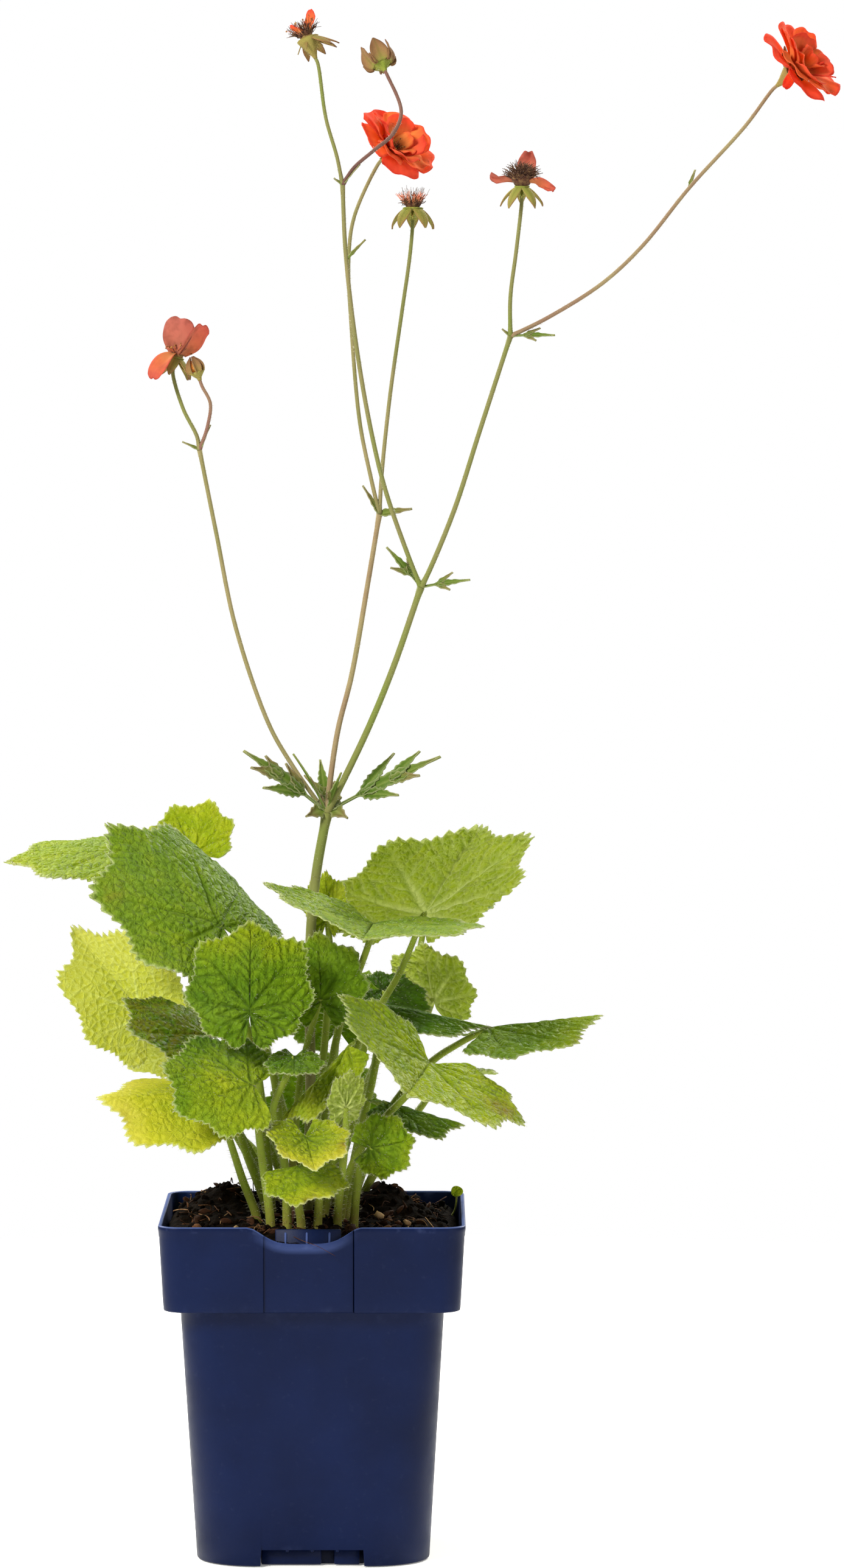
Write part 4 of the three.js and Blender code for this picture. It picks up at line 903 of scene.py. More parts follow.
SCAPE = [[-2, -14, 112], [-2, -14, 124], [-1, -14, 167], [-1, -13, 222], [1, -12, 246],
         FORK["low"]]


def into_head(head):
    axis = heading_of(head)[0]
    return [list(np.array(head["at"]) + axis * along) for along in (-3, -0.6, PLUG)]


print("branches:", len(BRANCHES), "stalk leaves:", len(BRACTS))

# %% Stalk leaf
STALK_HAIR = 0.04
SIDE_LOBES = {
    # where each pair leaves the main lobe, its slant and its length, by how cut the leaf is
    1: [],
    2: [(0.34, 38, 0.36)],
    3: [(0.06, 62, 0.2), (0.32, 36, 0.38), (0.58, 26, 0.28)],
}


def lance(root, ahead, left, up, len, wide, late, seed):
    """One pointed, toothed lobe of a stalk leaf, arching a little, with hairs on its edges."""
    s = np.linspace(0, 1, 30 if len > 15 else 18)[:, None]
    t = np.linspace(-1, 1, 7)[None]
    grown = np.clip((s - late) / (1 - late), 0, 1)
    half = wide * 0.5 * np.sin(math.pi * (0.05 + 0.95 * grown) ** 0.75) ** 1.15 * (grown > 0)
    half = half * (1 - 0.34 * np.abs(((s * len / 2.6 + 0.3) % 1) * 2 - 1))
    half = np.maximum(half, 0.5 * (1 - s) + 0.05)
    a = s * len - 0.9 * np.abs(t) * np.minimum(half, 1)
    b = half * t
    lift = 0.1 * wide * t * t - 0.09 * len * s * s
    place = (np.array(root, float) + ahead * a[..., None] + left * b[..., None]
             + up * (lift + 0 * a)[..., None])
    flat = np.ones_like(a)
    vein = np.exp(-(b / 0.35) ** 2) * flat
    dry = 0.4 if len < 14 else 0.05
    blade = thin_sheet(place, 0.4, "stalk_leaf", -0.15 * vein, brown=(dry + 0.5 * s ** 2) * flat,
                       vein=vein, rim=np.clip((np.abs(t) - 0.8) * 5, 0, 1) * flat)
    chance = np.random.default_rng(seed)
    count = int(len * (1.5 if len > 15 else 1))
    row = chance.integers(1, place.shape[0] - 1, count)
    edge = chance.integers(0, 2, count) * 6
    out = left * np.where(edge > 3, 1, -1)[:, None] + ahead * 0.3
    fringe = hairs(place[row, edge], out + chance.normal(0, 0.3, (count, 3)),
                   chance.uniform(0.4, 0.9, count), STALK_HAIR)
    return [blade, fringe]


def stalk_leaf(at, aim, rise, len, wide, seed, roll=0, lobes=2):
    """A main lobe on a narrow base, with pairs of pointed lobes that leave it at a slant."""
    ahead, left, up = heading_of({"aim": aim, "rise": rise, "roll": roll})
    made = lance(at, ahead, left, up, len, wide * (0.52 if lobes > 1 else 0.6),
                 0.3 if lobes > 1 else 0, seed)
    for k, (share, slant, size) in enumerate(SIDE_LOBES[lobes]):
        for way in (1, -1):
            angle = math.radians(slant * way)
            root = np.array(at, float) + ahead * share * len - up * 0.09 * len * share ** 2
            made += lance(root, ahead * math.cos(angle) + left * math.sin(angle),
                          left * math.cos(angle) - ahead * math.sin(angle), up,
                          len * size * (1 + 0.14 * way), wide * 0.42, 0, seed + 10 * k + way)
    return made


print("pairs of side lobes on the most cut leaf:", len(SIDE_LOBES[3]))

# %% Make the stalk
STEM_RED = {"middle": 0.46, "left": 0.3, "right": 0.08, "top": 0.16, "far": 0.1,
            "bud_top": 0.78, "bud_left": 0.6, "bloom_left": 0.2, "bloom_middle": 0.26,
            "spent_top": 0.14, "spent_middle": 0.2, "spent_right": 0.08, "bloom_right": 0.56}
stalk = []


def add_stem(through, thick, thin, red, seed, swollen=()):
    line = smooth_line(through, 9)
    girth = np.linspace(thick, thin, len(line))
    for at in swollen:
        far = np.linalg.norm(line - np.array(at), axis=1)
        girth = girth * (1 + 0.32 * np.exp(-(far / 2.6) ** 2))
    side = uneven(line, 22, seed)
    stalk.append(tube(line, girth, "stalk", sides=12, red=np.clip(red + 0.14 * side, 0, 1)))
    stalk.append(stem_hairs(line, girth, 4.0, 1.0, seed, share=(0.02, 0.99), thick=STALK_HAIR))


add_stem(SCAPE, 2, 1.7, 0.12, 71, [FORK["low"]])
for number, branch in enumerate(BRANCHES):
    start = FORK[branch["start"]]
    fork = [FORK[branch["to"]]] if "to" in branch else []
    end = fork or into_head(HEAD_AT[branch["head"]])
    red = STEM_RED[branch.get("head", branch.get("to"))]
    add_stem([start, *branch["via"], *end], branch["thick"], branch.get("thin", 0.62), red,
             80 + number, [start, *fork])
for number, bract in enumerate(BRACTS):
    stalk.extend(stalk_leaf(**bract, seed=120 + number))
piece = make_piece("downy_stalk", stalk, ["flower_stalk"])
print("stalk faces:", len(piece.data.polygons))

# %% [markdown]
# ## Flower heads
#
# Each head is built upright round its own axis and then turned to where it stands, just as a real
# flower turns on its stalk. A petal is a small grid that leaves the axis at one angle and curls to
# another; wider in the middle, waved along its edge, and ribbed by a fan of fine veins. Sepals are
# the same sheet drawn out to a point. The petals fade from scarlet at the edge to orange at the
# base, and old ones go salmon and brown.

# %% Petal, sepal and calyx finishes
tree, shader = new_finish("petal", Roughness=0.8, Specular_IOR_Level=0.06, Sheen_Weight=0.02)
color = toned(tree, "tone", 3.2, 2, 0.16, [(0.0, "fab05c"), (0.25, "f68c48"), (0.5, "f26c4a"),
                                           (0.75, "e24c36"), (1.0, "ac2820")])
color = over(tree, times(tree, mark(tree, "rib"), 0.09), color, "b4241a")
color = over(tree, times(tree, mark(tree, "faded"), 0.95), color, "b87468")
dry = strong_clouds(tree, 3.2, 3, 1.6, -0.7)
color = over(tree, times(tree, dry, mark(tree, "faded")), color, "7d4434")
paint(tree, shader, color)
lets_light_through(tree, shader, color, 0.48)

tree, shader = new_finish("sepal", Roughness=0.8, Specular_IOR_Level=0.06, Sheen_Weight=0.04)
color = toned(tree, "dry", 4.5, 3, 0.3,
              [(0.0, "7a9430"), (0.35, "96904a"), (0.65, "93704a"), (1.0, "664232")])
color = over(tree, times(tree, mark(tree, "rib"), 0.3), color, "55601e")
paint(tree, shader, color)
relief(tree, shader, clouds(tree, 0.6, 4), 0.12)
lets_light_through(tree, shader, color, 0.2)

tree, shader = new_finish("filament", Roughness=0.5)
color = ramp(tree, mark(tree, "up_stem"), [(0.0, "cf9a5c"), (0.6, "c8604a"), (1.0, "9c3a34")])
paint(tree, shader, over(tree, clouds(tree, 1, 2), color, "e08a58"))
tree, shader = new_finish("anther", Roughness=0.6)
color = ramp(tree, clouds(tree, 0.8, 2), [(0.3, "6b1f18"), (0.5, "8f5a22"), (0.75, "c7963c")])
paint(tree, shader, color)
tree, shader = new_finish("style", Roughness=0.8, Specular_IOR_Level=0.1, Sheen_Weight=0.05)
color = ramp(tree, clouds(tree, 1.2, 4), [(0.3, "301c16"), (0.5, "543628"), (0.75, "7e6440")])
paint(tree, shader, color)
relief(tree, shader, clouds(tree, 0.5, 4), 0.15)
print("flower finishes: petal, sepal, filament, anther, style")

# %% Petals, cups and brushes
CUP_HAIR = 0.025
THREAD_BOW = 0.35


def petal(len, wide, foot=0.35, tip=0.5, cup=0.0, curl=0.0, start=0.0, up=0.0, out=60, turn=0,
          ruffle=0.0, notch=0.0, twist=0, kind="petal", thick=0.22, seed=0, rows=15, columns=13,
          **marks):
    """A petal or a sepal that stands on the flower's axis; `turn` says which way it points."""
    s = np.linspace(0, 1, rows)[:, None]
    t = np.linspace(-1, 1, columns)[None]
    bend = math.radians(curl if abs(curl) >= 0.1 else 0.1)
    opening, turned = math.radians(out), math.radians(turn)
    rounding = 0.2 * np.abs(t) ** 3 if kind == "petal" else 0
    run = s * (1 - rounding - notch * np.exp(-(t / 0.25) ** 2))
    half = wide * (foot * (1 - s) ** 2 + 2.1 * s * (1 - s) + tip * s * s) * 0.5
    place = s * 2 + 0 * t, t + 0 * s, seed * 3.1
    half = half * (1 + 0.06 * flat_uneven(*place, 0.6, 8) * (kind == "petal"))
    angle, k = opening + bend * run, len / bend
    radial = start + k * (math.cos(opening) - np.cos(angle))
    high = up + k * (np.sin(angle) - math.sin(opening))
    lift = cup * t * t * np.sin(math.pi * np.minimum(s + 0.15, 1))
    lift = lift + ruffle * s ** 1.5 * flat_uneven(*place, 0.8, 9)
    lift = lift + ruffle * 0.24 * s ** 3 * np.sin(t * 6 + seed * 1.9)
    twisted = math.radians(twist) * np.minimum(s * 2, 1)
    lift = lift + half * t * np.sin(twisted)
    r, z = radial - lift * np.cos(angle), high + lift * np.sin(angle)
    b = half * t * np.cos(twisted)
    middle = np.stack([r * math.cos(turned) - b * math.sin(turned),
                       r * math.sin(turned) + b * math.cos(turned), z], -1)
    fan = np.exp(-((((t * 3.5) % 1) - 0.5) / 0.2) ** 2) * (0.25 + 0.75 * s)
    marks = {key: value(s, t) if callable(value) else value for key, value in marks.items()}
    rib = fan if kind == "petal" else np.exp(-(t / 0.16) ** 2) * np.ones_like(s)
    return thin_sheet(middle, thick, kind, -0.05 * rib, rib=rib, **marks)


def turned_shape(profile, finish, sides=24, ribs=0.0, **marks):
    """A closed round form; each pair in the profile is a radius and a height, going up."""
    profile = np.array(profile, float)
    turn = np.linspace(0, 2 * math.pi, sides, endpoint=False)
    radius = np.maximum(profile[:, :1], 0.02) * (1 + ribs * np.cos(turn * 5))
    rings = np.stack([radius * np.cos(turn), radius * np.sin(turn),
                      np.repeat(profile[:, 1:], sides, axis=1)], -1)
    return skin(rings, ring_faces(len(profile), sides), finish, **marks)


def cup(top, high, seed, dry):
    """The green or straw-coloured cup under a flower, with its down."""
    neck = 1.0
    flare = [(neck + (top - neck) * out, high * up) for out, up in
             ((0.2, 0.25), (0.5, 0.5), (0.8, 0.75), (1.0, 0.96))]
    profile = [(0.7, -0.9), (neck * 0.8, -0.4), (neck, 0.2), *flare,
               (top * 0.85, high + 0.15), (0.5, high + 0.2)]
    chance = np.random.default_rng(seed)
    count = int(50 + 10 * high)
    turn, share = chance.uniform(0, 6.28, count), chance.uniform(0, 1, count)
    out = np.stack([np.cos(turn), np.sin(turn), 0 * turn], 1)
    up = np.stack([0 * turn, 0 * turn, share * high], 1)
    roots = out * (neck + (top - neck) * share)[:, None] * 0.98 + up
    return [turned_shape(profile, "sepal", ribs=0.05, dry=dry, rib=0),
            hairs(roots, out - [0, 0, 0.3] + chance.normal(0, 0.3, (count, 3)),
                  chance.uniform(0.3, 0.6, count), CUP_HAIR)]


def filaments(count, base, ring, length, out, seed, anther=True, finish="filament", thick=0.16):
    """A brush of fine threads, which can each have a tiny pollen bag at the tip."""
    chance = np.random.default_rng(seed)
    made = []
    for _ in range(count):
        turn = chance.uniform(0, 2 * math.pi)
        lean = math.radians(out * chance.uniform(0.25, 1.25))
        way = np.array([math.cos(turn) * math.sin(lean), math.sin(turn) * math.sin(lean),
                        math.cos(lean)])
        root = np.array([math.cos(turn) * ring, math.sin(turn) * ring, base])
        root = root * [chance.uniform(0.5, 1), chance.uniform(0.5, 1), 1]
        tall = length * chance.uniform(0.7, 1.1)
        bow = chance.normal(0, THREAD_BOW, 3)
        line = smooth_line([root, root + way * tall * 0.5 + bow, root + way * tall], 4)
        made.append(tube(line, np.linspace(thick, thick * 0.7, len(line)), finish, sides=4))
        if anther:
            tip = root + way * tall
            ball = np.array([tip - way * 0.35, tip - way * 0.2, tip + way * 0.1, tip + way * 0.3])
            made.append(tube(ball, [0.1, 0.34, 0.36, 0.1], "anther", sides=6))
    return made


print("faces of one petal:", len(petal(10, 8)["faces"]))

# %% [markdown]
# ### From bud to seed head
#
# Eight heads stand at eight ages. The open ones have whorls of petals set round by rule. The older
# ones keep a few, which the table gives one by one, because no two hang alike. Sepals and threads
# are set round the cup by rule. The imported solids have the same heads, plainer.

# %% Cups, whorls and seed domes
def ring_of(count, start=0.0, vary=0.0, seed=0):
    chance = np.random.default_rng(seed)
    return [start + 360 * k / count + vary * chance.uniform(-0.5, 0.5) for k in range(count)]


def calyx_skins(seed, top, high, start=0, small=True, dry=0.3, turns=None, **sepal):
    """A cup with five sepals, and five small ones between them."""
    made = cup(top, high, seed, dry)
    for k, turn in enumerate(turns or ring_of(5, start)):
        made.append(petal(turn=turn, kind="sepal", thick=0.35, cup=-0.5, seed=seed + k, columns=9,
                          ruffle=0.2, dry=lambda s, t: dry + 0.3 * s ** 2 + 0.25 * t ** 6,
                          tip=0.08, foot=0.6, start=top - 0.8, up=high - 0.4, **sepal))
    for k, turn in enumerate(ring_of(5, start + 36) if small else []):
        made.append(petal(3.6, 1.1, foot=0.9, tip=0.25, start=top - 1.2, up=high - 1.5, turn=turn,
                          out=sepal["out"] + 16, kind="sepal", thick=0.3, seed=seed + k + 9,
                          columns=5, rows=8, dry=dry + 0.1))
    return made


def silk_tone(warmth, edge=0.22):
    """Orange at the claw, scarlet in the middle, dark red along the rim."""
    def tone(s, t):
        rim = np.maximum(np.abs(t) ** 8 * s ** 0.5, s ** 10)
        return warmth - 0.6 * (1 - s) ** 1.6 + edge * rim
    return tone


WHORLS = [
    # count, first turn, length, width, tip, lean outwards, curl, and how much these vary
    (5, 10, 15.5, 17.5, 0.95, 52, 36, 8), (4, 30, 13.0, 14.0, 0.9, 28, 22, 8),
    (5, 46, 14.4, 13.5, 0.95, 40, 34, 14), (4, 60, 10.0, 8.5, 0.8, 16, 26, 24),
]


def open_petals(seed, base, more=(), lean=0, size=1.0):
    """Four whorls of broad ruffled petals on a disc, and a few petals that stand by themselves."""
    chance = np.random.default_rng(seed)
    disc = [(0.5, base - 1), (2.3, base - 1), (2.4, base + 0.6), (0.5, base + 1)]
    made = [turned_shape(disc, "petal", tone=0.2, rib=0, faded=0)]
    for layer, (count, start, length, wide, tip, out, curl, vary) in enumerate(WHORLS):
        for k, turn in enumerate(ring_of(count, start, vary, seed + layer)):
            # the last two whorls are painted paler: painted light that lifts the shade the other
            # petals cast on them
            warmth = chance.uniform(0.34, 0.54) - 0.16 * (layer > 1)
            made.append(petal(size * length * chance.uniform(0.93, 1.02),
                              size * wide * chance.uniform(0.9, 1.05),
                              foot=0.12, tip=tip, cup=1.2, start=1.8, up=base + 0.5, turn=turn,
                              out=out + chance.uniform(-0.5, 0.5) * vary
                              - lean * math.sin(math.radians(turn)),
                              curl=curl + chance.uniform(-0.8, 0.8) * vary, ruffle=1.9, notch=0.05,
                              seed=seed + 10 * layer + k, faded=0.03, rows=17, columns=15,
                              tone=silk_tone(warmth)))
    for k, shape in enumerate(more):
        made.append(petal(**{"start": 1.8, "up": base + 0.5, "foot": 0.4, **shape}, ruffle=0.6,
                          seed=seed + 70 + k, faded=0, tone=silk_tone(0.6)))
    return made


def few_petals(shapes, seed, base=3.3, faded=0.6):
    """The last petals of a spent head, each with a shape of its own, on a disc."""
    disc = [(0.5, base - 1.2), (2.2, base - 1.2), (2.4, base + 0.5), (0.5, base + 0.8)]
    made = [turned_shape(disc, "sepal", rib=0, dry=0.6)]
    for k, shape in enumerate(shapes):
        made.append(petal(**{"start": 2, "up": base + 0.4, "tip": 0.6, "foot": 0.35, "cup": 0.9,
                             "faded": faded, "ruffle": 1.6, **shape}, seed=seed + k, rows=19,
                          columns=15, notch=0.05, tone=silk_tone(0.42, 0.35)))
    return made


def seed_dome(wide, high, base, seed, count, length, out):
    """Packed hairy seeds with their dry hooked styles."""
    dome = [(0.4, base - 1.1), (wide * 0.62, base - 1), (wide, base + high * 0.35),
            (wide * 0.94, base + high * 0.55), (wide * 0.7, base + high * 0.8),
            (wide * 0.4, base + high * 0.95), (0.3, base + high)]
    chance = np.random.default_rng(seed)
    made = [turned_shape(dome, "style", ribs=0.04)]
    for _ in range(count):
        tilt, turn = math.acos(chance.uniform(0.02, 1)), chance.uniform(0, 2 * math.pi)
        flat = np.array([math.cos(turn), math.sin(turn), 0])
        up = base + high * (0.3 + 0.66 * math.cos(tilt))
        root = flat * wide * 0.95 * math.sin(tilt) + [0, 0, up]
        way = unit(flat * math.sin(tilt * out / 45) + [0, 0, max(math.cos(tilt), 0.25)])
        tall = length * chance.uniform(0.6, 1.1)
        line = smooth_line([root, root + way * tall * 0.55 + chance.normal(0, 0.25, 3),
                            root + way * tall + chance.normal(0, 0.5, 3)], 3)
        made.append(tube(line, np.linspace(0.17, 0.07, len(line)), "style", sides=4))
    return made


def bud_sepals(first_turn, dry, foot=0.7, **shape):
    return [petal(foot=foot, tip=0.06, kind="sepal", thick=0.4, cup=-1.0, turn=turn, seed=k,
                  columns=9, ruffle=0.3, dry=dry, **shape)
            for k, turn in enumerate(ring_of(5, first_turn))]


def bud_core(profile, ribs, tone, faded):
    return [turned_shape(profile, "petal", ribs=ribs, tone=tone, rib=0.3, faded=faded)]


print("petals in the whorls of an open bloom:", sum(whorl[0] for whorl in WHORLS))

# %% The eight heads
HEADS = {
    "bloom_right": {
        "calyx": lambda: calyx_skins(
            1, 3.7, 6.4, small=False, dry=0.5, len=8, wide=5.6, out=56, curl=12),
        "petals": lambda: open_petals(11, 6.5, [
            dict(len=15, wide=4.2, tip=0.7, out=34, curl=20, turn=-20),
            dict(len=11, wide=3.4, tip=0.7, out=12, curl=16, turn=10),
            dict(len=11, wide=4.5, tip=0.8, out=96, curl=30, turn=-86)], 18, 1.1),
        "stamens": lambda: seed_dome(1.3, 2.0, 7.6, 12, 16, 2.4, 25)
        + filaments(26, 7.6, 1.5, 4.4, 26, 13)},
    "bloom_middle": {
        "calyx": lambda: calyx_skins(2, 2.9, 2.8, dry=0.35, len=8, wide=4.4, out=70, curl=14),
        "petals": lambda: open_petals(29, 3.3, lean=8),
        "stamens": lambda: seed_dome(1.5, 2.2, 4.4, 22, 36, 3.0, 30)
        + filaments(40, 4.4, 1.8, 4.6, 34, 23)},
    "spent_top": {
        "calyx": lambda: calyx_skins(
            3, 4.1, 7, dry=0.42, turns=[-8, -44, 30, 66, 104], len=9, wide=4.4, out=122, curl=20),
        "petals": lambda: few_petals([
            dict(len=8.6, wide=5.6, out=34, curl=-26, turn=-20, faded=0.15, twist=66, ruffle=0.7),
            dict(len=6, wide=3.6, out=30, curl=10, turn=226, faded=0.1, ruffle=0.7)], 31, 7.7),
        "styles": lambda: seed_dome(3.0, 3.0, 7.9, 32, 70, 3.4, 30)
        + filaments(60, 8.2, 3.2, 5.6, 38, 33, False, "style", 0.1)
        + filaments(14, 8.4, 3.0, 5.8, 44, 35, True, "filament", 0.12)},
    "bud_top": {
        "calyx": lambda: cup(3.6, 3.0, 4, 0.2)
        + bud_sepals(-84, lambda s, t: 0.3 + 0.5 * s ** 0.5 + 0.15 * t * t, len=9.2, wide=8.2,
                     start=3.0, up=2.2, out=27, curl=-30)
        + bud_sepals(-48, 0.75, len=4.6, wide=1.5, start=3.4, up=2.0, out=62, curl=-40),
        "petals": lambda: bud_core([(0.3, 3.8), (1.7, 4), (2.5, 6), (2.3, 7.4), (1.5, 8.8),
                                    (0.2, 9.6)], 0.12, 0.1, 0.1)},
    "spent_middle": {
        "calyx": lambda: calyx_skins(
            5, 3.8, 3.4, -126, dry=0.22, len=9, wide=6.4, out=118, curl=56),
        "stamens": lambda: seed_dome(3.0, 2.2, 3.8, 52, 60, 3.0, 34)
        + filaments(60, 4.6, 3.0, 5.0, 36, 53, False, "filament", 0.1)
        + filaments(40, 4.6, 3.0, 6.4, 34, 54, False, "style", 0.08)},
    "spent_right": {
        "calyx": lambda: calyx_skins(
            6, 2.8, 2.6, -126, dry=0.22, len=9.5, wide=5, out=118, curl=44),
        "petals": lambda: few_petals([
            dict(len=10, wide=4.6, out=84, curl=-14, turn=178, ruffle=2, twist=40),
            dict(len=10.5, wide=7, out=84, curl=46, turn=-12, ruffle=1.8, twist=-48, faded=0.6),
            dict(len=13.5, wide=8.5, out=60, curl=-56, turn=74, ruffle=3.0)], 61, faded=0.85),
        "styles": lambda: seed_dome(4.3, 4.8, 3.9, 62, 260, 3.2, 46)},
    "bloom_left": {
        "calyx": lambda: calyx_skins(
            7, 2.8, 2.6, turns=[-97, -30, 44, 120, 192], len=9, wide=5.6, out=116, curl=44),
        "petals": lambda: few_petals([
            dict(len=13.6, wide=13, out=14, curl=-8, turn=-112, cup=-1, tip=0.85, faded=0.95),
            dict(len=14.5, wide=11.5, out=36, curl=-16, turn=-40, cup=-1, tip=0.85, faded=0.75),
            dict(len=15, wide=9, tip=0.75, foot=0.2, out=112, curl=62, turn=236, faded=0.5)], 71),
        "stamens": lambda: seed_dome(1.4, 1.8, 4.2, 72, 30, 2.4, 25)
        + filaments(44, 4.0, 1.7, 4.4, 62, 73)},
    "bud_left": {
        "calyx": lambda: cup(2.8, 2.4, 8, 0.4)
        + bud_sepals(0, lambda s, t: 0.55 + 0.35 * s + 0 * t, foot=0.5, len=6.4, wide=3.9,
                     start=2.2, up=2.1, out=10, curl=-50),
        "petals": lambda: bud_core([(0.3, 2.4), (1.8, 2.7), (2.3, 4.2), (1.9, 5.6), (1.1, 6.6),
                                    (0.2, 7.1)], 0.1, 0.0, 0)},
}
for name, recipes in HEADS.items():
    head = HEAD_AT[name]
    axis = Vector(heading_of(head)[0])
    turn = np.array(Vector((0, 0, 1)).rotation_difference(axis).to_matrix())
    for part, recipe in recipes.items():
        skins = recipe()
        for one in skins:
            one["points"] = one["points"] @ turn.T + np.array(head["at"], float)
        make_piece(f"{name}_fine_{part}", skins, [f"{name}_{part}"])
print("heads:", len(HEADS))

# %% [markdown]
# ## The moulded pot
#
# The pot is one injection moulding: a square that tapers to a smaller, rounder foot, with a deep
# collar that sets it off at the top. The section of its wall is a list of levels, each a square
# with rounded corners, and running that section round makes the skin. Rounded edges come from extra
# levels placed close together. In front the collar has two raised panels with a sunken middle, the
# rim sinks in a soft wave there, and a tongue stands behind the wave. A thin line of painted shade
# runs along the panels' edges, and a painted highlight along the rim's top, the rolled lip in the
# wave and the tongue's ribs. The foot is cut away under the middle of each side, and skirts behind
# these gaps keep the light out; the innermost is painted near-black, as painted shade.

# %% Pot finish
tree, shader = new_finish("pot_plastic", Roughness=0.42, Specular_IOR_Level=0.1)
color = ramp(tree, clouds(tree, 30, 3), [(0.3, "040f2e"), (0.7, "071539")])
dust = strong_clouds(tree, 2.2, 6, 3.0, -1.85)
color = over(tree, times(tree, dust, 0.06), color, "59627f")
# painted shade: a near-black line along the panels' edges, and the back skirt darkened the same way
color = over(tree, times(tree, mark(tree, "groove"), 0.7), color, "020510")
# painted highlight along the rim's top, the rolled lip in the wave and the tongue's ribs
color = over(tree, times(tree, mark(tree, "lip"), 0.5), color, "5468a8")
scuff = times(tree, mark(tree, "worn"), strong_clouds(tree, 5, 6, 3.4, -1.9))
color = over(tree, times(tree, scuff, 0.2), color, "5f6c9c")
paint(tree, shader, color)
rough = strong_clouds(tree, 6, 5, 0.22, 0.34)
tree.links.new(rough, shader.inputs["Roughness"])
relief(tree, shader, clouds(tree, 0.45, 3), 0.03)
print("pot finish:", len(tree.nodes), "nodes")

# %% Pot numbers
POT = {"high": 124, "rim": 55, "collar_high": 31, "foot": 42.1, "foot_corner": 22, "wall": 1.4}
NOTCH = {"wide": 37, "high": 6}
DIP = {"left": -23, "right": 18, "deep": 5.9}
RECESS = {"left": -17, "right": 15, "deep": 0.8}
TAB = {"left": -13, "right": 10.5, "top": 123, "back": 3.4, "thick": 1.1}
SHOULDER = POT["high"] - POT["collar_high"]
STRAIGHT = 18.8  # up to here from a side's middle, the places keep their distance on every level
CORNER_PLACES = 9
# places on a side that have an edge near them: the panels', the gap's, and some just past the gap
EDGES = [RECESS[end] + by for end in ("left", "right") for by in (-0.6, -0.3, 0, 0.3, 0.6)]
EDGES += [way * (NOTCH["wide"] / 2 + by) for way in (-1, 1) for by in (-0.15, 0.15)]
EDGES += [way * place for way in (-1, 1) for place in (18.9, 19.0, 19.2, 19.5, 19.8)]


def quarter_turns(count):
    a = math.radians(90 * count)
    return np.array([[math.cos(a), -math.sin(a), 0], [math.sin(a), math.cos(a), 0], [0, 0, 1]])


def square_ring(half, corner):
    """Places round a square with rounded corners, closest where a side has its edges."""
    mid = half - corner
    base_mid = POT["foot"] - POT["foot_corner"]
    stops = np.unique(np.round(np.concatenate([np.linspace(-1, 1, 31) * base_mid, EDGES]), 3))
    run = np.interp(stops, [-base_mid, -STRAIGHT, STRAIGHT, base_mid],
                    [-mid, -STRAIGHT, STRAIGHT, mid])
    side = np.stack([np.full(len(run), half), run], 1)
    bend = np.linspace(0, math.pi / 2, CORNER_PLACES + 2)[1:-1]
    round_it = np.stack([mid + corner * np.cos(bend), mid + corner * np.sin(bend)], 1)
    quarter = np.vstack([side, round_it])
    return np.vstack([quarter @ quarter_turns(count)[:2, :2].T for count in range(4)])


def dip_at(x):
    """How far the front of the rim sinks."""
    middle, span = (DIP["left"] + DIP["right"]) / 2, (DIP["right"] - DIP["left"]) / 2
    t = np.clip((x - middle) / span, -1, 1)
    return DIP["deep"] * (0.5 + 0.5 * np.cos(math.pi * t * t))


print("places round the pot:", len(square_ring(55, 8)))

# %% The pot's wall
OUTSIDE_LEVELS = 31
COLLAR_TOP = POT["high"] - 0.05


def on_collar_front(y, half, height):
    """Whether places lie on the outer face of the collar's front."""
    return (y < -45) & (height > SHOULDER - 0.1) & (half > 52) & (height < COLLAR_TOP)


def up_collar(height):
    return (height - SHOULDER) / POT["collar_high"]


LEVELS = [
    # height, half width, corner radius, and how far this level takes part in the rim's wave
    (6, 0.4, 0.3, 0), (6, 20, 12, 0), (6, 40.2, 20.6, 0), (0.3, 40.7, 20.6, 0),
    (0, 41.0, 21, 0), (0, 41.8, 21.6, 0), (0.3, 42.1, 22, 0),
    *[(z, 42.1 + 5.3 * z / SHOULDER, 22 - 12 * z / SHOULDER, 0) for z in (8, 24, 40, 56, 72, 85)],
    (SHOULDER - 0.9, 47.35, 10, 0), (SHOULDER - 0.25, 47.8, 10, 0), (SHOULDER, 48.6, 9.6, 0),
    (SHOULDER, 52.6, 8.2, 0), (SHOULDER + 0.25, 53.05, 8, 0), (SHOULDER + 0.9, 53.2, 8, 0),
    *[(z, 53.2 + 1.7 * (z - SHOULDER) / POT["collar_high"], 8, up_collar(z))
      for z in (97, 102, 108, 114, 119)],
    (121.6, 54.85, 8, 0.97), (122.4, 55, 8, 1), (123.5, 55, 8, 1), (123.87, 54.85, 8, 1),
    (124, 54.5, 7.7, 1), (124, 54.0, 7.4, 1), (123.8, 53.7, 7, 1), (123.3, 53.6, 6.6, 1),
    *[(z, 51.8 + 1.75 * (z - SHOULDER) / POT["collar_high"], 6.6, up_collar(z))
      for z in (119, 110, 100)],
    (SHOULDER + POT["wall"], 51.8, 6.6, 0), (SHOULDER + POT["wall"], 46.0, 8.6, 0),
    *[(z, 40.8 + 5.2 * z / SHOULDER, 20.6 - 12 * z / SHOULDER, 0) for z in (80, 55, 30)],
    (7.6, 41.2, 19.6, 0), (7.6, 20, 12, 0), (7.6, 0.4, 0.3, 0),
]
rings, worn, lip, groove = [], [], [], []
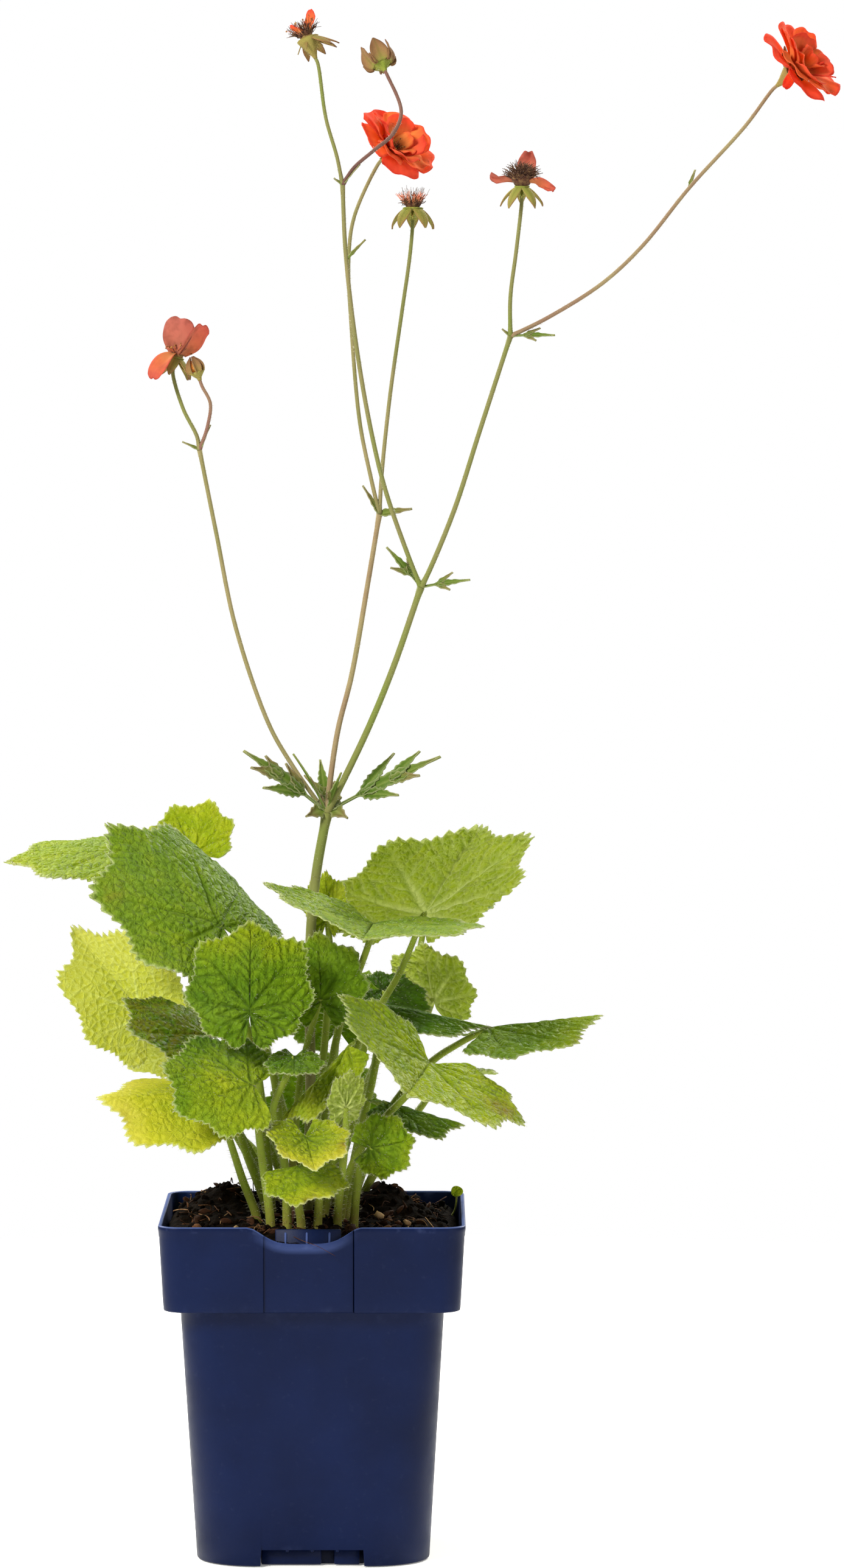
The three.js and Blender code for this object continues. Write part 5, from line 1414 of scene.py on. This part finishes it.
for height, half, bend, share in LEVELS:
    ring = square_ring(half, bend)
    x, y = ring.T
    z = np.full(len(ring), float(height))
    if 20 < half and height < NOTCH["high"] - 0.1:
        cut = np.minimum(np.abs(x), np.abs(y)) < NOTCH["wide"] / 2
        z = np.where(cut, NOTCH["high"] - 0.1 + 0.02 * height, z)
    front = np.clip((-y - 40) / 6, 0, 1)
    z = z - dip_at(x) * share * front
    outside = len(rings) < OUTSIDE_LEVELS
    collar = on_collar_front(y, half, height)
    sunk = (x > RECESS["left"]) & (x < RECESS["right"]) & collar
    from_edge = np.minimum(np.abs(x - RECESS["left"]), np.abs(x - RECESS["right"]))
    # the panels' edges step in a little, and a thin line of painted shade runs along them
    seam = (from_edge < 0.15) & collar
    y = y + (RECESS["deep"] * sunk + 0.5 * seam) * outside
    groove.append(1.0 * seam * outside)
    # painted highlight: a pale band on the rolled lip where the rim sinks, and a full line on the
    # rim's top ring
    painted_dip_highlight = 0.45 * dip_at(x) / DIP["deep"] * front * (height > 121.5) * outside
    lip.append(np.full(len(ring), 1.0) if 123.6 < height and half < 55 else painted_dip_highlight)
    rubbed = abs(height - SHOULDER) < 1 or height < 1
    worn.append(np.full(len(ring), 1.0 if height > 122 else 0.3 * rubbed))
    rings.append(np.stack([x, y, z], 1))
sides = len(rings[0])
shell = skin(np.vstack(rings), ring_faces(len(rings), sides), "pot_plastic",
             worn=np.concatenate(worn), lip=np.concatenate(lip), groove=np.concatenate(groove))
print("pot wall:", len(rings), "levels of", sides)

# %% Tongue, pad, ribs and skirts
BEVEL = 0.35
SKIRTS = [
    # from, to, the place of its front, and how much painted shade darkens it
    (-18.4, 3.2, -38.6, 0), (7.8, 17, -38.6, 0), (-18.6, 18.6, -36.6, 1),
]


def rounded_block(low, high, **marks):
    """A block with bevelled edges, made of stacked oblongs."""
    low, high = np.array(low, float), np.array(high, float)
    levels = []
    for z, inset in ((low[2], BEVEL), (low[2] + BEVEL, 0), (high[2] - BEVEL, 0), (high[2], BEVEL)):
        x0, y0, x1, y1 = low[0] + inset, low[1] + inset, high[0] - inset, high[1] - inset
        c = min(0.4, (y1 - y0) / 3)
        outline = [(x1, y0 + c), (x1, y1 - c), (x1 - c, y1), (x0 + c, y1), (x0, y1 - c),
                   (x0, y0 + c), (x0 + c, y0), (x1 - c, y0)]
        levels.append([(x, y, z) for x, y in outline])
    return skin(levels, ring_faces(len(levels), len(outline)), "pot_plastic", **marks)


back = -POT["rim"] + TAB["back"]
parts = [shell, rounded_block((TAB["left"], back, SHOULDER + 1.0),
                              (TAB["right"], back + TAB["thick"], TAB["top"]), worn=0.2)]
# the tongue's three ribs, worn, with a painted highlight along them
for x in (-9.3, -1.7, 6.4):
    parts.append(rounded_block((x - 0.4, back - 0.45, 104), (x + 0.4, back + 0.5, 122), worn=1.0,
                               lip=0.9))
parts.append(turned_shape([(8.6, 0), (9, 0.3), (8.2, 5.6), (8, 6.2)], "pot_plastic", sides=48,
                          worn=0.2))
for side in range(4):
    blocks = [rounded_block((x - 0.6, -42.2, 5.0), (x + 0.6, -40.2, 10.0), worn=0.1)
              for x in (-9, 0, 9)]
    # the innermost skirt is painted near-black, as painted shade behind the gap
    blocks += [rounded_block((start, front, 0.05), (end, front + 1.2, 6.3), groove=painted_shade)
               for start, end, front, painted_shade in SKIRTS]
    for block in blocks:
        block["points"] = block["points"] @ quarter_turns(side).T
    parts += blocks
pot = make_piece("moulded_pot", parts, ["pot"], sharp=50)
print("pot faces:", len(pot.data.polygons))

# %% [markdown]
# ## Peat
#
# The soil is milled peat with bits of bark. Its top is a height map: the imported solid's heaps, with
# clods and grains of smaller and smaller size added from noise. Loose crumbs, bark chips and dry
# rootlets are scattered on it, because real crumbs cast real shadows and a bumpy surface alone
# looks like velvet. One root hangs out over the wave in the rim.

# %% Soil finishes
tree, shader = new_finish("peat", Roughness=0.95, Specular_IOR_Level=0.03)
color = ramp(tree, clouds(tree, 2.2, 8), [(0.25, "040302"), (0.5, "0b0603"), (0.68, "160e08"),
                                         (0.85, "2e2014")])
paint(tree, shader, color)
relief(tree, shader, clouds(tree, 1.1, 8), 0.7)

tree, shader = new_finish("bark", Roughness=0.85, Specular_IOR_Level=0.1)
color = toned(tree, "pale", 1.8, 6, 0.5,
              [(0.0, "160a05"), (0.4, "341d10"), (0.7, "64442c"), (1.0, "ac9068")])
paint(tree, shader, color)
relief(tree, shader, clouds(tree, 0.7, 6), 0.25)
print("soil finishes: peat, bark")

# %% Soil surface
def heap(x, y, cx, cy, high, wide):
    return high * np.exp(-((x - cx) ** 2 + (y - cy) ** 2) / (2 * wide * wide))


def soil_top(x, y):
    return (119.5 + heap(x, y, -32, 2, 12, 12) + heap(x, y, 25, 8, 12, 9)
            + heap(x, y, -4, -16, 4.6, 18) + heap(x, y, -45, -25, 3.5, 14))


def soil_rough(x, y):
    return (1.3 * flat_uneven(x, y, 0, 6.5, 21) + 0.9 * flat_uneven(x, y, 0, 2.9, 22)
            + 0.5 * flat_uneven(x, y, 0, 1.3, 23))


SOIL = {"half": 51.9, "bottom": 96.0, "places": 105}
u = np.linspace(-1, 1, SOIL["places"]) * SOIL["half"]
gx, gy = np.meshgrid(u, u, indexing="ij")
corner_cut = np.clip((np.abs(gx) + np.abs(gy)) / SOIL["half"] - 1.4, 0, 1) * 0.055
gx, gy = gx * (1 - corner_cut), gy * (1 - corner_cut)
edge = np.clip((1 - np.maximum(np.abs(gx), np.abs(gy)) / SOIL["half"]) * 14, 0, 1)
top = soil_top(gx, gy) + soil_rough(gx, gy) * (0.4 + 0.6 * edge) - 2.2 * (1 - edge)
layers = [np.stack([gx, gy, z], -1) for z in (top, np.full(top.shape, SOIL["bottom"]))]
peat = skin(layers, sheet_faces(*top.shape), "peat")
print("soil top between", round(float(top.min()), 1), "and", round(float(top.max()), 1), "mm")

# %% Crumbs, bark and rootlets
CHIPS = [
    # place, size and how pale it is
    (24, -30, 125.4, 1.7, 0.95), (34, -36, 123.4, 1.4, 0.85), (27, -40, 122.4, 1.2, 0.7),
    (-41, -45, 123.0, 1.5, 0.6), (17, -44, 121.8, 1.2, 0.8),
]
ROOT = [(-14, -44, 122), (-8, -50, 120.8), (-3, -54.4, 119.2), (2, -56.3, 117.6),
        (8.5, -55.9, 114)]
chance = np.random.default_rng(404)


def on_soil(x, y):
    x, y = np.array(x), np.array(y)
    return float(soil_top(x, y) + soil_rough(x, y))


def lump(at, size, squash, finish, seed, **marks):
    """A small irregular lump: a ball of few faces with its places pushed in and out."""
    turn = np.linspace(0, 2 * math.pi, 8, endpoint=False)
    rings = []
    for tilt in (-70, -30, 10, 45, 75):
        a = math.radians(tilt)
        rings.append(np.stack([np.cos(turn) * math.cos(a), np.sin(turn) * math.cos(a),
                               np.full(8, math.sin(a))], 1))
    points = np.vstack(rings)
    points = points * (1 + 0.4 * uneven(points * 3 + seed * 11, 1.7, seed % 50))[:, None]
    spin = Vector((0, 0, 1)).rotation_difference(Vector(unit(chance.normal(size=3)))).to_matrix()
    points = (points * size * np.array(squash)) @ np.array(spin).T + at
    return skin(points, ring_faces(len(rings), len(turn)), finish, **marks)


loose = []
for k in range(720):
    x, y = chance.uniform(-49, 49, 2)
    size = chance.uniform(0.35, 1.5) * (1.5 if chance.random() < 0.08 else 1)
    place = [x, y, on_soil(x, y) + size * 0.2]
    loose.append(lump(place, size, chance.uniform(0.6, 1.3, 3), "peat", k))
for k in range(90):
    x, y = chance.uniform(-47, 47, 2)
    place = [x, y, on_soil(x, y) + 0.4]
    loose.append(lump(place, chance.uniform(1.0, 2.6), (1.5, 0.8, 0.35), "bark", k,
                      pale=chance.choice([0.2, 0.35, 0.5, 0.95], p=[0.4, 0.35, 0.15, 0.1])))
for k, (x, y, z, size, pale) in enumerate(CHIPS):
    loose.append(lump([x, y, z], size, (1.3, 0.8, 0.5), "bark", k + 300, pale=pale))
for k in range(200):
    x, y = chance.uniform(-48, 48, 2)
    way = unit(chance.normal(size=3) * [1, 1, 0.35])
    length = chance.uniform(3, 10)
    z = on_soil(x, y) + 0.3
    middle = np.array([x, y, z + chance.uniform(0, 1.6)])
    line = smooth_line([[x, y, z] - way * length / 2, middle + chance.normal(0, 0.8, 3),
                        middle + way * length / 2 + chance.normal(0, 0.8, 3)], 4)
    line[:, :2] = np.clip(line[:, :2], -51, 51)
    loose.append(tube(line, chance.uniform(0.09, 0.24), "bark", sides=4,
                      pale=chance.uniform(0.3, 0.8)))
line = smooth_line(ROOT, 6)
loose.append(tube(line, np.linspace(0.16, 0.07, len(line)), "bark", sides=5, pale=0.45))
soil = make_piece("peat_and_bark", [peat, *loose], ["soil"])
print("soil faces:", len(soil.data.polygons))

# %% [markdown]
# ## A seedling
#
# A seedling has sown itself by the right-hand rim. It is one round leaf on a thin bent stem, and
# it uses the finishes of the large leaves and their petioles.

# %% Seedling
SEEDLING = {"foot": [49, 24, 114], "bend": [49.6, 24, 117], "neck": [51.6, 24, 121],
            "leaf": [52.2, 23.5, 127.6], "half": 2.2, "tilt": 0.95}
stem = [SEEDLING[place] for place in ("foot", "bend", "neck", "leaf")]
line = smooth_line(stem, 8)
seedling = [tube(line, np.linspace(0.42, 0.3, len(line)), "petiole", sides=8, red=0.3)]
share = np.linspace(0.02, 1, 12)[:, None]
turn = np.linspace(-math.pi, math.pi, 40)[None]
radius = SEEDLING["half"] * share * (1 + 0.05 * np.cos(turn * 3))
a, b = radius * np.cos(turn), radius * np.sin(turn)
disc = np.stack([a, b * math.cos(SEEDLING["tilt"]) - 0.25 * share ** 2,
                 b * math.sin(SEEDLING["tilt"])], -1)
disc = disc + np.array(SEEDLING["leaf"])
seedling.append(thin_sheet(disc, 0.35, "leaf_blade", age=0.6, vein=0.4 * (1 - share), rim=0,
                           silver=0.1, brown=0))
make_piece("self_sown_seedling", seedling, ["seedling"])
print("seedling stands", SEEDLING["leaf"][2] - SEEDLING["foot"][2], "mm high")
